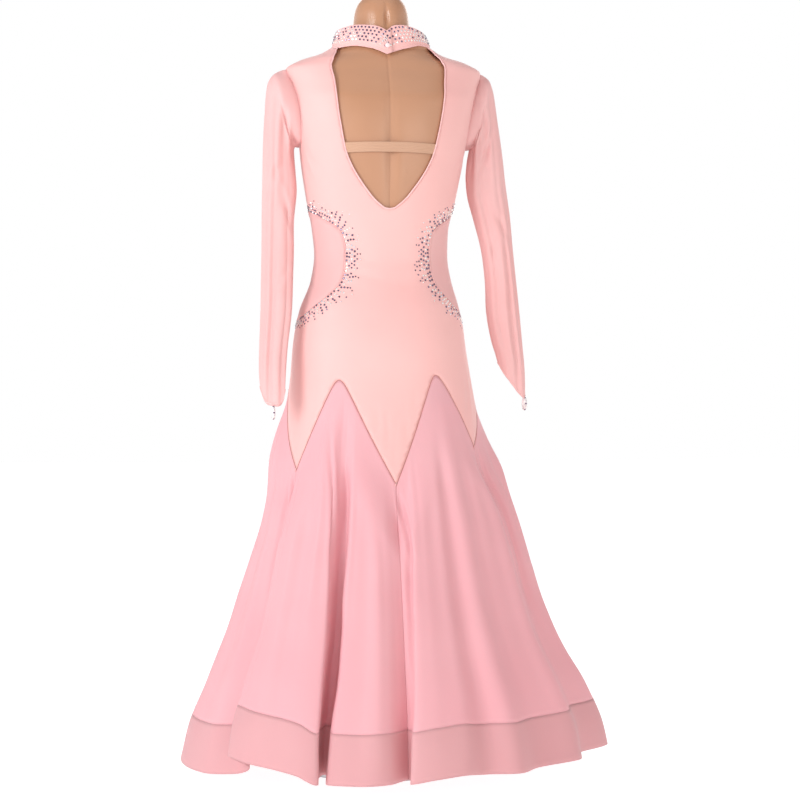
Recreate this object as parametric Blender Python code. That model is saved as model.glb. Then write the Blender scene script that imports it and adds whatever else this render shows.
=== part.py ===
"""Ballroom dance dress, a long-sleeved bodice with an open back and a flared skirt, on a limbless form.

Metres, +Z up. The wearer's front faces -Y and the wearer's left is +X.
Angles round the body run from the centre back (0) over the wearer's left side (90) to the front (180).
"""

import bpy
import numpy as np
from mathutils import Vector
from mathutils.geometry import delaunay_2d_cdt

# Cloth walls and the gaps between pieces
BODICE_WALL = 0.0014
MESH_WALL = 0.0012
SKIRT_WALL = 0.0012
HEM_WALL = 0.0016
COLLAR_WALL = 0.0018
STRAP_WALL = 0.0014
SEAM_GAP = 0.0003
FORM_CLEARANCE = 0.0022
SHOULDER_CLEARANCE = 0.0090
PANEL_SPACING = 0.026

# The body axis inside the part's footprint
AXIS_X = 0.024
AXIS_Y = 0.0

# Sections of the fitted bodice
SECTION_COLUMNS = ("height", "left", "right", "back", "front", "fullness")
SECTIONS = (
    (0.490, 0.198, 0.198, 0.172, 0.168, 2.1),
    (0.570, 0.190, 0.190, 0.158, 0.150, 2.1),
    (0.650, 0.178, 0.178, 0.142, 0.131, 2.2),
    (0.724, 0.168, 0.165, 0.130, 0.114, 2.3),
    (0.784, 0.163, 0.155, 0.124, 0.108, 2.3),
    (0.843, 0.152, 0.146, 0.111, 0.104, 2.3),
    (0.902, 0.130, 0.129, 0.095, 0.098, 2.2),
    (0.946, 0.1235, 0.1225, 0.088, 0.097, 2.2),
    (0.991, 0.1275, 0.1245, 0.090, 0.102, 2.2),
    (1.050, 0.1385, 0.1385, 0.098, 0.118, 2.2),
    (1.109, 0.147, 0.150, 0.106, 0.134, 2.2),
    (1.168, 0.153, 0.160, 0.108, 0.126, 2.3),
    (1.228, 0.160, 0.172, 0.102, 0.106, 2.3),
    (1.260, 0.168, 0.180, 0.092, 0.090, 2.1),
    (1.287, 0.177, 0.187, 0.078, 0.074, 2.0),
    (1.302, 0.155, 0.163, 0.072, 0.067, 2.0),
    (1.316, 0.114, 0.118, 0.066, 0.064, 2.0),
    (1.331, 0.090, 0.092, 0.061, 0.061, 2.0),
)

# Sections of the flared skirt between its folds
FLARE_COLUMNS = ("height", "left", "right", "back", "front")
FLARES = (
    (0.010, 0.368, 0.418, 0.352, 0.358),
    (0.090, 0.350, 0.402, 0.336, 0.342),
    (0.160, 0.323, 0.372, 0.314, 0.320),
    (0.220, 0.298, 0.338, 0.290, 0.296),
    (0.280, 0.275, 0.309, 0.266, 0.270),
    (0.340, 0.256, 0.288, 0.242, 0.246),
    (0.400, 0.238, 0.271, 0.220, 0.222),
    (0.460, 0.220, 0.253, 0.200, 0.200),
    (0.520, 0.209, 0.234, 0.182, 0.180),
    (0.580, 0.206, 0.215, 0.166, 0.160),
    (0.640, 0.200, 0.199, 0.150, 0.140),
    (0.720, 0.170, 0.167, 0.131, 0.115),
)

# The zigzag seam at the hips, apex and point in turn
HIP_SEAM_COLUMNS = ("angle", "height")
HIP_SEAM = (
    (-180.0, 0.712),
    (-135.0, 0.570),
    (-90.0, 0.700),
    (-56.0, 0.594),
    (-28.0, 0.725),
    (0.0, 0.529),
    (33.0, 0.716),
    (60.0, 0.554),
    (98.0, 0.700),
    (139.0, 0.560),
    (180.0, 0.712),
)
HIP_APEX_ROUND = 0.12

# Skirt folds: where each crest or valley leaves the hips and where it meets the hem
FOLD_COLUMNS = ("hip_angle", "hem_angle", "depth", "start", "hem_height")
FOLDS = (
    (-180, -180, -0.034, 0.66, 0.030),
    (-169, -172, 0.010, 0.62, 0.030),
    (-156, -152, 0.013, 0.58, 0.032),
    (-149, -149.5, -0.028, 0.54, 0.035),
    (-144, -147, -0.045, 0.54, 0.036),
    (-139, -144, -0.018, 0.54, 0.035),
    (-134, -140.5, 0.015, 0.54, 0.034),
    (-122, -118, 0.012, 0.60, 0.032),
    (-109, -114, -0.046, 0.66, 0.036),
    (-101, -107, 0.014, 0.66, 0.040),
    (-92, -95, 0.006, 0.64, 0.056),
    (-84, -86, 0.002, 0.62, 0.062),
    (-77, -83, -0.034, 0.62, 0.053),
    (-68, -76, 0.010, 0.58, 0.046),
    (-59, -62, -0.024, 0.62, 0.043),
    (-48, -48, 0.010, 0.62, 0.043),
    (-38, -36, -0.012, 0.66, 0.038),
    (-30, -27, 0.008, 0.68, 0.036),
    (-22, -19, -0.012, 0.64, 0.036),
    (-15.5, -12, 0.008, 0.60, 0.040),
    (-11, -4.6, 0.015, 0.60, 0.036),
    (-7.2, 1.1, 0.006, 0.60, 0.029),
    (-4.2, -0.2, -0.024, 0.60, 0.028),
    (0, 0.6, -0.045, 0.58, 0.028),
    (3.5, 3.2, -0.033, 0.57, 0.027),
    (7.5, 6.6, -0.012, 0.55, 0.026),
    (14, 14, 0.000, 0.55, 0.025),
    (21, 23.4, -0.006, 0.66, 0.025),
    (24.5, 26.2, -0.054, 0.70, 0.028),
    (26.8, 27.4, -0.079, 0.70, 0.030),
    (28.6, 29.6, -0.077, 0.70, 0.030),
    (30.8, 29.2, -0.048, 0.68, 0.028),
    (34, 26.0, 0.012, 0.66, 0.027),
    (38, 31.5, 0.020, 0.62, 0.042),
    (43, 38, 0.022, 0.58, 0.050),
    (52, 47, 0.020, 0.60, 0.0555),
    (58, 56.0, 0.010, 0.64, 0.061),
    (62, 54.6, -0.018, 0.66, 0.046),
    (66, 54.4, -0.038, 0.66, 0.032),
    (70, 59.8, -0.034, 0.64, 0.023),
    (76, 70, -0.008, 0.60, 0.019),
    (87, 88, 0.002, 0.62, 0.021),
    (98, 103, 0.004, 0.66, 0.028),
    (103, 108.5, -0.030, 0.66, 0.032),
    (107, 112.5, -0.042, 0.66, 0.034),
    (110.5, 113.3, -0.024, 0.65, 0.034),
    (115, 110.5, 0.011, 0.64, 0.034),
    (126, 124, 0.014, 0.60, 0.030),
    (137, 139, 0.012, 0.55, 0.032),
    (141.5, 144.5, -0.028, 0.54, 0.035),
    (145, 147.5, -0.045, 0.54, 0.036),
    (149, 149.3, -0.014, 0.56, 0.034),
    (154, 149.5, 0.013, 0.58, 0.032),
    (166, 167, 0.010, 0.62, 0.030),
)
FLARE_BLEND = 0.14
FOLD_BLEND = 0.08
FOLD_GROWTH = 1.15
SKIRT_ROWS = 12
WIDEST_STEP = 5.5
HEM_DEPTH = 0.085
HEM_ROWS = 2
PANEL_EDGES = (0.0, 60.0, 139.0, 225.0, 304.0, 360.0)

# Neckline under the collar and the collar's top edge
COLLAR_COLUMNS = ("angle", "bottom", "top")
COLLAR = (
    (-180, 1.300, 1.340),
    (-155, 1.306, 1.342),
    (-130, 1.322, 1.346),
    (-105, 1.330, 1.349),
    (-84, 1.331, 1.352),
    (-48, 1.331, 1.3585),
    (-20, 1.323, 1.3645),
    (-9, 1.3175, 1.3625),
    (-2, 1.3125, 1.3550),
    (0, 1.3105, 1.3530),
    (3, 1.3135, 1.3555),
    (9, 1.3180, 1.3595),
    (16, 1.3220, 1.3620),
    (39, 1.327, 1.3640),
    (60, 1.325, 1.3605),
    (90, 1.330, 1.3555),
    (110, 1.330, 1.352),
    (130, 1.322, 1.347),
    (155, 1.306, 1.342),
)
COLLAR_TOP_LEFT = 0.0865
COLLAR_TOP_RIGHT = 0.0830
COLLAR_TOP_BACK = 0.0600
COLLAR_TOP_FRONT = 0.0660
COLLAR_LAP = 5.0
LAP_GAP = 0.0006
COLLAR_STEP = 10.0
COLLAR_ROWS = 2
BUTTON_RADIUS = 0.0045
BUTTON_DEPTH = 0.0040
BUTTON_STANDOFF = 0.0012
BUTTON_PLACE = 0.34
BUTTON_SIDES = 14
BUTTON_PROFILE = ((0.6, 0.0), (1.0, 0.3), (0.85, 0.7), (0.45, 1.0))

# The open back, from its lowest point up one side
KEYHOLE_COLUMNS = ("angle", "height")
KEYHOLE = (
    (0.0, 1.0258),
    (3.5, 1.0272),
    (7.5, 1.0338),
    (12.5, 1.0450),
    (17.5, 1.0610),
    (22.5, 1.0795),
    (27.5, 1.1025),
    (31.2, 1.1285),
    (33.8, 1.1775),
    (35.0, 1.2150),
    (35.3, 1.2500),
    (35.0, 1.2750),
    (35.6, 1.2910),
    (40.5, 1.3045),
    (48.5, 1.3125),
    (56.5, 1.3200),
    (60.0, 1.3255),
)
STRAP_CENTRE = 1.1350
STRAP_WIDTH = 0.0180
STRAP_RISE = 0.0015
STRAP_ROWS = 3
STRAP_COLUMNS = 17

# Armhole, from the shoulder point down the back and up the front
ARMHOLE_COLUMNS = ("angle", "height")
ARMHOLE = (
    (90.0, 1.287),
    (83.0, 1.270),
    (76.0, 1.238),
    (74.0, 1.205),
    (76.0, 1.175),
    (83.0, 1.152),
    (96.0, 1.145),
    (106.0, 1.155),
    (113.0, 1.180),
    (115.0, 1.212),
    (110.0, 1.245),
    (101.0, 1.273),
)
ARMHOLE_FOOT = 6
SIDE_SEAM = 96.0

# Waist insets, from the upper tip down the back edge and up the front edge
INSET_COLUMNS = ("angle", "height")
INSET = (
    (96.0, 1.028),
    (70.0, 1.016),
    (54.0, 1.003),
    (44.0, 0.992),
    (39.5, 0.976),
    (37.5, 0.955),
    (37.0, 0.934),
    (38.5, 0.902),
    (42.0, 0.886),
    (48.5, 0.870),
    (58.0, 0.853),
    (72.0, 0.836),
    (96.0, 0.824),
    (112.0, 0.842),
    (124.0, 0.876),
    (130.0, 0.920),
    (126.0, 0.966),
    (114.0, 1.004),
)
INSET_TIP = 0
INSET_FOOT = 12

# Sleeve rings: the edge away from the body, the edge beside it, then depth, place and slant
SLEEVE_COLUMNS = ("outer_x", "outer_z", "inner_x", "inner_z", "half_depth", "shift_y", "slant_y")
SLEEVE_LEFT = (
    (0.1960, 1.2790, 0.1600, 1.1470, 0.040, -0.008, 0.000),
    (0.2075, 1.2660, 0.1620, 1.1440, 0.037, -0.007, 0.000),
    (0.2125, 1.2480, 0.1630, 1.1380, 0.034, -0.006, 0.000),
    (0.2160, 1.2050, 0.1620, 1.1200, 0.031, -0.004, 0.000),
    (0.2190, 1.1480, 0.1600, 1.0950, 0.028, -0.001, 0.002),
    (0.2205, 1.0850, 0.1590, 1.0600, 0.026, 0.004, 0.005),
    (0.2220, 1.0200, 0.1650, 1.0080, 0.024, 0.010, 0.008),
    (0.2230, 0.9600, 0.1660, 0.9550, 0.022, 0.018, 0.010),
    (0.2250, 0.9000, 0.1690, 0.9000, 0.021, 0.028, 0.012),
    (0.2270, 0.8400, 0.1730, 0.8400, 0.020, 0.040, 0.014),
    (0.2310, 0.7800, 0.1820, 0.7800, 0.018, 0.056, 0.014),
    (0.2330, 0.7350, 0.1870, 0.7350, 0.017, 0.068, 0.014),
    (0.2320, 0.7020, 0.1900, 0.6960, 0.016, 0.078, 0.014),
)
SLEEVE_RIGHT = (
    (-0.2010, 1.2790, -0.1690, 1.1470, 0.040, -0.008, 0.000),
    (-0.2090, 1.2660, -0.1680, 1.1420, 0.037, -0.007, 0.000),
    (-0.2140, 1.2480, -0.1660, 1.1340, 0.034, -0.006, 0.000),
    (-0.2200, 1.2050, -0.1630, 1.1160, 0.031, -0.004, 0.000),
    (-0.2290, 1.1400, -0.1610, 1.0900, 0.028, -0.002, 0.000),
    (-0.2350, 1.0800, -0.1640, 1.0560, 0.026, 0.000, 0.000),
    (-0.2430, 1.0200, -0.1750, 1.0130, 0.024, 0.002, 0.000),
    (-0.2480, 0.9600, -0.1880, 0.9600, 0.023, 0.004, 0.000),
    (-0.2540, 0.9000, -0.1950, 0.9030, 0.022, 0.006, 0.000),
    (-0.2600, 0.8400, -0.1970, 0.8450, 0.021, 0.008, 0.000),
    (-0.2650, 0.7830, -0.2050, 0.7960, 0.019, 0.010, 0.000),
    (-0.2690, 0.7350, -0.2130, 0.7680, 0.017, 0.012, 0.000),
    (-0.2700, 0.6850, -0.2180, 0.7490, 0.015, 0.014, 0.000),
)
SLEEVE_SIDES = 20
SLEEVE_PLEATS = 5
SLEEVE_PLEAT_DEPTH = 0.0022
LEFT_CUFF_POINT = 0.030
RIGHT_CUFF_POINT = 0.012
LOOP_RADIUS = 0.0105
LOOP_BAND = 0.0050
LOOP_WALL = 0.0012
LOOP_SIDES = 16

# The limbless form under the dress
FORM_BOTTOM = 0.672
FORM_ROWS = (0.672, 0.710, 0.760, 0.810, 0.850, 0.890, 0.925, 0.960, 1.000, 1.050, 1.110,
             1.160, 1.190, 1.215, 1.240, 1.262, 1.277, 1.288, 1.297, 1.307, 1.318, 1.328)
FORM_SIDES = 36
NECK_COLUMNS = ("height", "half_width", "half_depth")
NECK = (
    (1.340, 0.0660, 0.0590),
    (1.356, 0.0560, 0.0570),
    (1.376, 0.0515, 0.0550),
    (1.392, 0.0495, 0.0530),
    (1.406, 0.0455, 0.0490),
    (1.418, 0.0375, 0.0410),
    (1.428, 0.0270, 0.0300),
    (1.435, 0.0130, 0.0150),
)
NECK_TOP = 1.437
SHOULDER_END = 0.028
SHOULDER_END_ANGLE = 93.0
SHOULDER_END_SPREAD = 14.0
SHOULDER_END_HEIGHT = 1.232
SHOULDER_END_REACH = 0.036
SHOULDER_EASE_START = 1.220
SHOULDER_EASE = 0.050
POLE_RADIUS = 0.0160
POLE_SIDES = 24
BASE_RADIUS = 0.1500
BASE_HEIGHT = 0.0100
BASE_BEVEL = 0.0030
BASE_SIDES = 48

# Colours
ROSE_BODICE = (0.90, 0.58, 0.57)
ROSE_MESH = (0.86, 0.45, 0.45)
ROSE_SKIRT = (0.89, 0.47, 0.48)
ROSE_HEM = (0.80, 0.46, 0.48)
NUDE_ELASTIC = (0.76, 0.42, 0.26)
PALE_ELASTIC = (0.86, 0.80, 0.78)
BUTTON_GLASS = (0.80, 0.82, 0.86)
TAN_COVER = (0.62, 0.36, 0.22)
STEEL = (0.62, 0.62, 0.64)

# Bodice pieces are laid out flat as angle times this radius against length along the side
FLAT_RADIUS = 0.14
STEP = 1.0e-4


def clear_scene():
    for item in list(bpy.data.objects):
        bpy.data.objects.remove(item, do_unlink=True)


def column(table, columns, name):
    """One column of a table as an array."""
    place = columns.index(name)
    return np.array([row[place] for row in table], float)


def ease(at, xs, ys):
    """A curve through the table's points that doesn't overshoot them."""
    at = np.clip(np.asarray(at, float), xs[0], xs[-1])
    gaps = np.diff(xs)
    slopes = np.diff(ys) / gaps
    tangents = np.zeros(len(xs))
    tangents[0] = slopes[0]
    tangents[-1] = slopes[-1]
    same_way = slopes[:-1] * slopes[1:] > 0
    total = np.where(same_way, slopes[:-1] + slopes[1:], 1.0)
    tangents[1:-1] = np.where(same_way, 2.0 * slopes[:-1] * slopes[1:] / total, 0.0)
    seg = np.clip(np.searchsorted(xs, at, side="right") - 1, 0, len(gaps) - 1)
    t = (at - xs[seg]) / gaps[seg]
    rise = ys[seg] * (1.0 + 2.0 * t) * (1.0 - t) ** 2 + ys[seg + 1] * t * t * (3.0 - 2.0 * t)
    bend = tangents[seg] * t * (1.0 - t) ** 2 - tangents[seg + 1] * t * t * (1.0 - t)
    return rise + gaps[seg] * bend


def ease_round(angle, angles, values):
    """The same curve for a table that runs once round the body."""
    xs = np.concatenate([angles - 360.0, angles, angles + 360.0])
    ys = np.concatenate([values, values, values])
    return ease((np.asarray(angle, float) + 180.0) % 360.0 - 180.0, xs, ys)


def soft_step(t):
    t = np.clip(t, 0.0, 1.0)
    return t * t * (3.0 - 2.0 * t)


def ring_point(angle, height, left, right, back, front, fullness):
    """Points on a rounded section with its own size to each side."""
    turn = np.radians(angle)
    across, along = np.sin(turn), np.cos(turn)
    power = np.abs(across) ** fullness + np.abs(along) ** fullness
    scale = power ** (-1.0 / fullness)
    x = np.where(across > 0, left, right) * across * scale
    y = np.where(along > 0, back, front) * along * scale
    return np.stack([AXIS_X + x, AXIS_Y + y, height + 0.0 * x], axis=-1)


def body_point(angle, height):
    """The outer face of the fitted bodice."""
    angle, height = np.broadcast_arrays(np.asarray(angle, float), np.asarray(height, float))
    rows = column(SECTIONS, SECTION_COLUMNS, "height")
    sizes = [ease(height, rows, column(SECTIONS, SECTION_COLUMNS, name))
             for name in SECTION_COLUMNS[1:]]
    return ring_point(angle, height, *sizes)


def body_normal(angle, height):
    """Outward direction of the bodice face."""
    across = body_point(angle + 0.5, height) - body_point(angle - 0.5, height)
    upward = body_point(angle, height + STEP) - body_point(angle, height - STEP)
    normal = np.cross(upward, across)
    return normal / np.linalg.norm(normal, axis=-1, keepdims=True)


def flare_point(angle, height):
    """The outer face of the skirt between its folds."""
    rows = column(FLARES, FLARE_COLUMNS, "height")
    sizes = [ease(height, rows, column(FLARES, FLARE_COLUMNS, name))
             for name in FLARE_COLUMNS[1:]]
    return ring_point(angle, height, *sizes, 2.0)


def hip_seam_height(angle):
    """Height of the zigzag seam, round at each apex and sharp at each point."""
    angle = np.asarray(angle, float)
    angles = column(HIP_SEAM, HIP_SEAM_COLUMNS, "angle")
    heights = column(HIP_SEAM, HIP_SEAM_COLUMNS, "height")
    wrapped = (angle + 180.0) % 360.0 - 180.0
    seg = np.clip(np.searchsorted(angles, wrapped, side="right") - 1, 0, len(angles) - 2)
    t = (wrapped - angles[seg]) / (angles[seg + 1] - angles[seg])
    falling = heights[seg] > heights[seg + 1]
    apex = np.where(falling, heights[seg], heights[seg + 1])
    low = np.where(falling, heights[seg + 1], heights[seg])
    away = np.where(falling, t, 1.0 - t)
    fall = np.hypot(away, HIP_APEX_ROUND) - HIP_APEX_ROUND
    return apex - (apex - low) * fall / (np.hypot(1.0, HIP_APEX_ROUND) - HIP_APEX_ROUND)


def skirt_point(hip_angle, down):
    """The outer face of the skirt; down runs from 0 at the hip seam to 1 at the hem."""
    angles = column(FOLDS, FOLD_COLUMNS, "hip_angle")
    turn = ease_round(hip_angle, angles, column(FOLDS, FOLD_COLUMNS, "hem_angle") - angles)
    depth = ease_round(hip_angle, angles, column(FOLDS, FOLD_COLUMNS, "depth"))
    start = ease_round(hip_angle, angles, column(FOLDS, FOLD_COLUMNS, "start"))
    hem = ease_round(hip_angle, angles, column(FOLDS, FOLD_COLUMNS, "hem_height"))
    top = hip_seam_height(hip_angle)
    height = top + (hem - top) * down
    drop = top - height
    grown = np.clip((start - height) / (start - hem), 0.0, 1.0) ** FOLD_GROWTH
    grown = grown * soft_step(drop / FOLD_BLEND)
    angle = hip_angle + turn * grown
    flare = soft_step(drop / FLARE_BLEND)[..., None]
    points = body_point(hip_angle, height) * (1.0 - flare) + flare_point(angle, height) * flare
    away = np.stack([np.sin(np.radians(angle)), np.cos(np.radians(angle)), 0.0 * angle], axis=-1)
    return points + away * (depth * grown)[..., None]


def make_object(name, points, faces, smooth_count, colour, roughness, sheen=0.0, metallic=0.0):
    """A named mesh object with its own material."""
    mesh = bpy.data.meshes.new(name)
    mesh.from_pydata([tuple(p) for p in points], [], [tuple(int(i) for i in f) for f in faces])
    mesh.polygons.foreach_set("use_smooth", [i < smooth_count for i in range(len(faces))])
    mesh.update()
    obj = bpy.data.objects.new(name, mesh)
    bpy.context.scene.collection.objects.link(obj)
    material = bpy.data.materials.new(name + "_finish")
    material.use_nodes = True
    shader = material.node_tree.nodes["Principled BSDF"]
    shader.inputs["Base Color"].default_value = (*colour, 1.0)
    shader.inputs["Roughness"].default_value = roughness
    shader.inputs["Metallic"].default_value = metallic
    shader.inputs["Sheen Weight"].default_value = sheen
    material.diffuse_color = (*colour, 1.0)
    obj.data.materials.append(material)
    return obj


def point_normals(points, faces):
    """Outward direction at each point of an open cloth face."""
    corners = points[faces]
    face_normals = np.cross(corners[:, 1] - corners[:, 0], corners[:, 2] - corners[:, 0])
    normals = np.zeros_like(points)
    for corner in range(3):
        np.add.at(normals, faces[:, corner], face_normals)
    return normals / np.linalg.norm(normals, axis=1, keepdims=True)


def cloth(name, points, faces, wall, colour, roughness, sheen, normals=None):
    """A closed cloth wall: its outer face, an inner face and the cut edges between them."""
    points = np.asarray(points, float)
    faces = np.asarray(faces, int)
    count = len(points)
    if normals is None:
        normals = point_normals(points, faces)
    inner = points - normals * wall
    edges = {(int(f[i]), int(f[(i + 1) % 3])) for f in faces for i in range(3)}
    rim = []
    for a, b in sorted(edges):
        if (b, a) not in edges and a < b:
            rim.append((b, a, b + count))
            rim.append((a, a + count, b + count))
        elif (b, a) not in edges:
            rim.append((b, a, a + count))
            rim.append((b, a + count, b + count))
    every = [tuple(f) for f in faces] + [tuple(f[::-1] + count) for f in faces] + rim
    return make_object(name, np.concatenate([points, inner]), every, 2 * len(faces),
                       colour, roughness, sheen)


def grid_faces(rows, columns, closed=False):
    """Triangles over a grid of points in rows, facing out when columns run to the left."""
    faces = []
    for r in range(rows - 1):
        for c in range(columns if closed else columns - 1):
            n = (c + 1) % columns
            a, b = r * columns + c, r * columns + n
            d, e = a + columns, b + columns
            if (r + c) % 2:
                faces += [(a, b, e), (a, e, d)]
            else:
                faces += [(a, b, d), (b, e, d)]
    return np.array(faces)


def draw_in(grid, distance):
    """Moves the two side columns of a grid inward, which leaves the seam gap."""
    grid = grid.copy()
    for edge, beside in ((0, 1), (-1, -2)):
        step = grid[:, beside] - grid[:, edge]
        grid[:, edge] += step / np.linalg.norm(step, axis=1, keepdims=True) * distance
    return grid


def side_length():
    """Heights and the length of cloth along the side up to each."""
    heights = np.arange(0.480, 1.336, 0.001)
    rows = column(SECTIONS, SECTION_COLUMNS, "height")
    widths = ease(heights, rows, column(SECTIONS, SECTION_COLUMNS, "left"))
    steps = np.hypot(np.diff(heights), np.diff(widths))
    return heights, np.concatenate([[0.0], np.cumsum(steps)])


SIDE_HEIGHTS, SIDE_LENGTHS = side_length()


def lay_flat(outline):
    outline = np.asarray(outline, float)
    along = np.interp(outline[:, 1], SIDE_HEIGHTS, SIDE_LENGTHS)
    return np.stack([np.radians(outline[:, 0]) * FLAT_RADIUS, along], axis=1)


def wrap_round(flat):
    """Flat points as angle and height on the body."""
    angle = np.degrees(flat[:, 0] / FLAT_RADIUS)
    return angle, np.interp(flat[:, 1], SIDE_LENGTHS, SIDE_HEIGHTS)


def even_steps(path, spacing, count=0):
    """Points along an open path at even steps, its ends kept."""
    lengths = np.concatenate([[0.0], np.cumsum(np.linalg.norm(np.diff(path, axis=0), axis=1))])
    count = count or max(1, int(round(lengths[-1] / spacing)))
    at = np.linspace(0.0, lengths[-1], count + 1)
    return np.stack([np.interp(at, lengths, path[:, i]) for i in range(2)], axis=1)


def round_off(path):
    """A finer path with its corners between the ends eased."""
    path = np.asarray(path, float)
    at = np.concatenate([[0.0], np.cumsum(np.linalg.norm(np.diff(path, axis=0), axis=1))])
    fine = np.linspace(0.0, at[-1], 6 * len(path))
    return np.stack([ease(fine, at, path[:, i]) for i in range(2)], axis=1)


def shrink(loop, distance):
    """Moves a loop that runs to the left inward by a distance."""
    before = loop - np.roll(loop, 1, axis=0)
    after = np.roll(loop, -1, axis=0) - loop
    before /= np.linalg.norm(before, axis=1, keepdims=True)
    after /= np.linalg.norm(after, axis=1, keepdims=True)
    left = np.stack([-(before + after)[:, 1], (before + after)[:, 0]], axis=1)
    left /= np.linalg.norm(left, axis=1, keepdims=True)
    opening = np.clip(np.abs(np.sum(left * np.stack([-after[:, 1], after[:, 0]], 1), 1)), 0.4, 1.0)
    return loop + left * (distance / opening)[:, None]


def inside(points, loop):
    """Which points lie inside a loop."""
    x, y = points[:, 0][:, None], points[:, 1][:, None]
    x0, y0 = loop[:, 0], loop[:, 1]
    x1, y1 = np.roll(x0, -1), np.roll(y0, -1)
    spans = (y0 > y) != (y1 > y)
    cross = x0 + (y - y0) * (x1 - x0) / np.where(y1 == y0, 1.0, y1 - y0)
    return np.sum(spans & (x < cross), axis=1) % 2 == 1


def distance_to(points, loop):
    start, end = loop, np.roll(loop, -1, axis=0)
    along = end - start
    t = np.sum((points[:, None] - start) * along, axis=2) / np.sum(along * along, axis=1)
    nearest = start + np.clip(t, 0.0, 1.0)[..., None] * along
    return np.min(np.linalg.norm(points[:, None] - nearest, axis=2), axis=1)


def flat_panel(paths):
    """Points and triangles of a flat piece bounded by paths that meet end to end."""
    spacing = PANEL_SPACING
    pieces = [(even_steps(path, spacing) if even else path)[:-1] for path, even in paths]
    loop = shrink(np.concatenate(pieces), SEAM_GAP / 2.0)
    low, high = loop.min(axis=0), loop.max(axis=0)
    rows = np.arange(low[1], high[1], spacing * 0.87)
    filling = []
    for i, y in enumerate(rows):
        xs = np.arange(low[0] + (i % 2) * spacing / 2.0, high[0], spacing)
        filling.append(np.stack([xs, np.full(len(xs), y)], axis=1))
    filling = np.concatenate(filling)
    filling = filling[inside(filling, loop)]
    filling = filling[distance_to(filling, loop) > 0.55 * spacing]
    every = [Vector(p) for p in np.concatenate([loop, filling])]
    found = delaunay_2d_cdt(every, [], [list(range(len(loop)))], 1, 1.0e-7)
    points = np.array([tuple(p) for p in found[0]])
    return points, np.array([tuple(f) for f in found[2]])


def body_panel(name, paths, wall, colour, roughness, sheen):
    """A piece of cloth cut flat and wrapped on the body, from the paths round its edge."""
    flat, faces = flat_panel([(lay_flat(path), even) for path, even in paths])
    angle, height = wrap_round(flat)
    points = body_point(angle, height)
    first = points[faces[:, 1]] - points[faces[:, 0]]
    second = points[faces[:, 2]] - points[faces[:, 0]]
    centre = points[faces].mean(axis=1)
    outward = centre - np.stack([0.0 * centre[:, 0] + AXIS_X, 0.0 * centre[:, 0] + AXIS_Y,
                                 centre[:, 2] - 0.1], axis=1)
    wrong = np.sum(np.cross(first, second) * outward, axis=1) < 0
    faces[wrong] = faces[wrong][:, ::-1]
    return cloth(name, points, faces, wall, colour, roughness, sheen, body_normal(angle, height))


def mirrored(path):
    """A path on the other side of the body, run the other way."""
    path = np.asarray(path, float)[::-1].copy()
    path[:, 0] *= -1.0
    return path


def spaced(*paths):
    """Paths that take the panel's own spacing."""
    return [(path, True) for path in paths]


def shared(*paths):
    """Paths that keep their points, which the piece across the seam has too."""
    return [(path, False) for path in paths]


def reverse(paths):
    return [(path[::-1], way) for path, way in paths[::-1]]


def hip_path(start, end):
    """The zigzag seam between two angles, one step to each column of the skirt."""
    angles = skirt_columns()[0]
    angles = np.concatenate([angles - 360.0, angles])
    angles = angles[(angles > start - 0.01) & (angles < end + 0.01)]
    return np.stack([angles, hip_seam_height(angles)], axis=1)


def collar_edge(angle, name):
    angles = column(COLLAR, COLLAR_COLUMNS, "angle")
    return ease_round(angle, angles, column(COLLAR, COLLAR_COLUMNS, name))


def neck_path(start, end):
    """The neckline between two angles, one step to each column of the collar."""
    angles = np.arange(start, end + 0.01, COLLAR_STEP)
    return np.stack([angles, collar_edge(angles, "bottom")], axis=1)


def armhole_side(back):
    """The armhole's back or front edge, from the shoulder down to the side seam."""
    table = np.array(ARMHOLE, float)
    front = np.concatenate([table[:1], table[ARMHOLE_FOOT:][::-1]])
    path = table[:ARMHOLE_FOOT + 1] if back else front
    angle, height = wrap_round(even_steps(lay_flat(round_off(path)), 0.0, SLEEVE_SIDES // 2))
    return np.stack([angle, height], axis=1)


def inset_side(back):
    """The inset's back or front edge, from its upper tip to its foot."""
    table = np.array(INSET, float)
    if back:
        return round_off(table[INSET_TIP:INSET_FOOT + 1])
    return round_off(np.concatenate([table[:1], table[INSET_FOOT:][::-1]]))


def make_back():
    keyhole = round_off(np.array(KEYHOLE, float))
    neck_angle = keyhole[-1, 0]
    keyhole[-1, 1] = collar_edge(neck_angle, "bottom")
    shoulder = np.array([(90.0, collar_edge(90.0, "bottom")), (90.0, ARMHOLE[0][1])])
    upper_side = np.array([(SIDE_SEAM, ARMHOLE[ARMHOLE_FOOT][1]), (SIDE_SEAM, INSET[INSET_TIP][1])])
    lower_side = np.array([(SIDE_SEAM, INSET[INSET_FOOT][1]),
                           (SIDE_SEAM, hip_seam_height(SIDE_SEAM))])
    right_foot = np.array([(-SIDE_SEAM, hip_seam_height(-SIDE_SEAM)),
                           (-SIDE_SEAM, INSET[INSET_FOOT][1])])
    right_neck = neck_path(-90.0, -neck_angle)
    right_keyhole = mirrored(keyhole)
    right_keyhole[0, 1] = right_neck[-1, 1]
    right_shoulder = np.array([(-90.0, ARMHOLE[0][1]), (-90.0, right_neck[0, 1])])
    paths = spaced(keyhole) + shared(neck_path(neck_angle, 90.0)) + spaced(shoulder)
    paths += shared(armhole_side(True)) + spaced(upper_side, inset_side(True), lower_side)
    paths += shared(hip_path(-SIDE_SEAM, SIDE_SEAM)[::-1])
    paths += spaced(right_foot, mirrored(inset_side(True)), mirrored(upper_side))
    paths += shared(mirrored(armhole_side(True))) + spaced(right_shoulder)
    paths += shared(right_neck) + spaced(right_keyhole)
    return body_panel("back_bodice", reverse(paths), BODICE_WALL, ROSE_BODICE, 0.55, 0.3)


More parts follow.
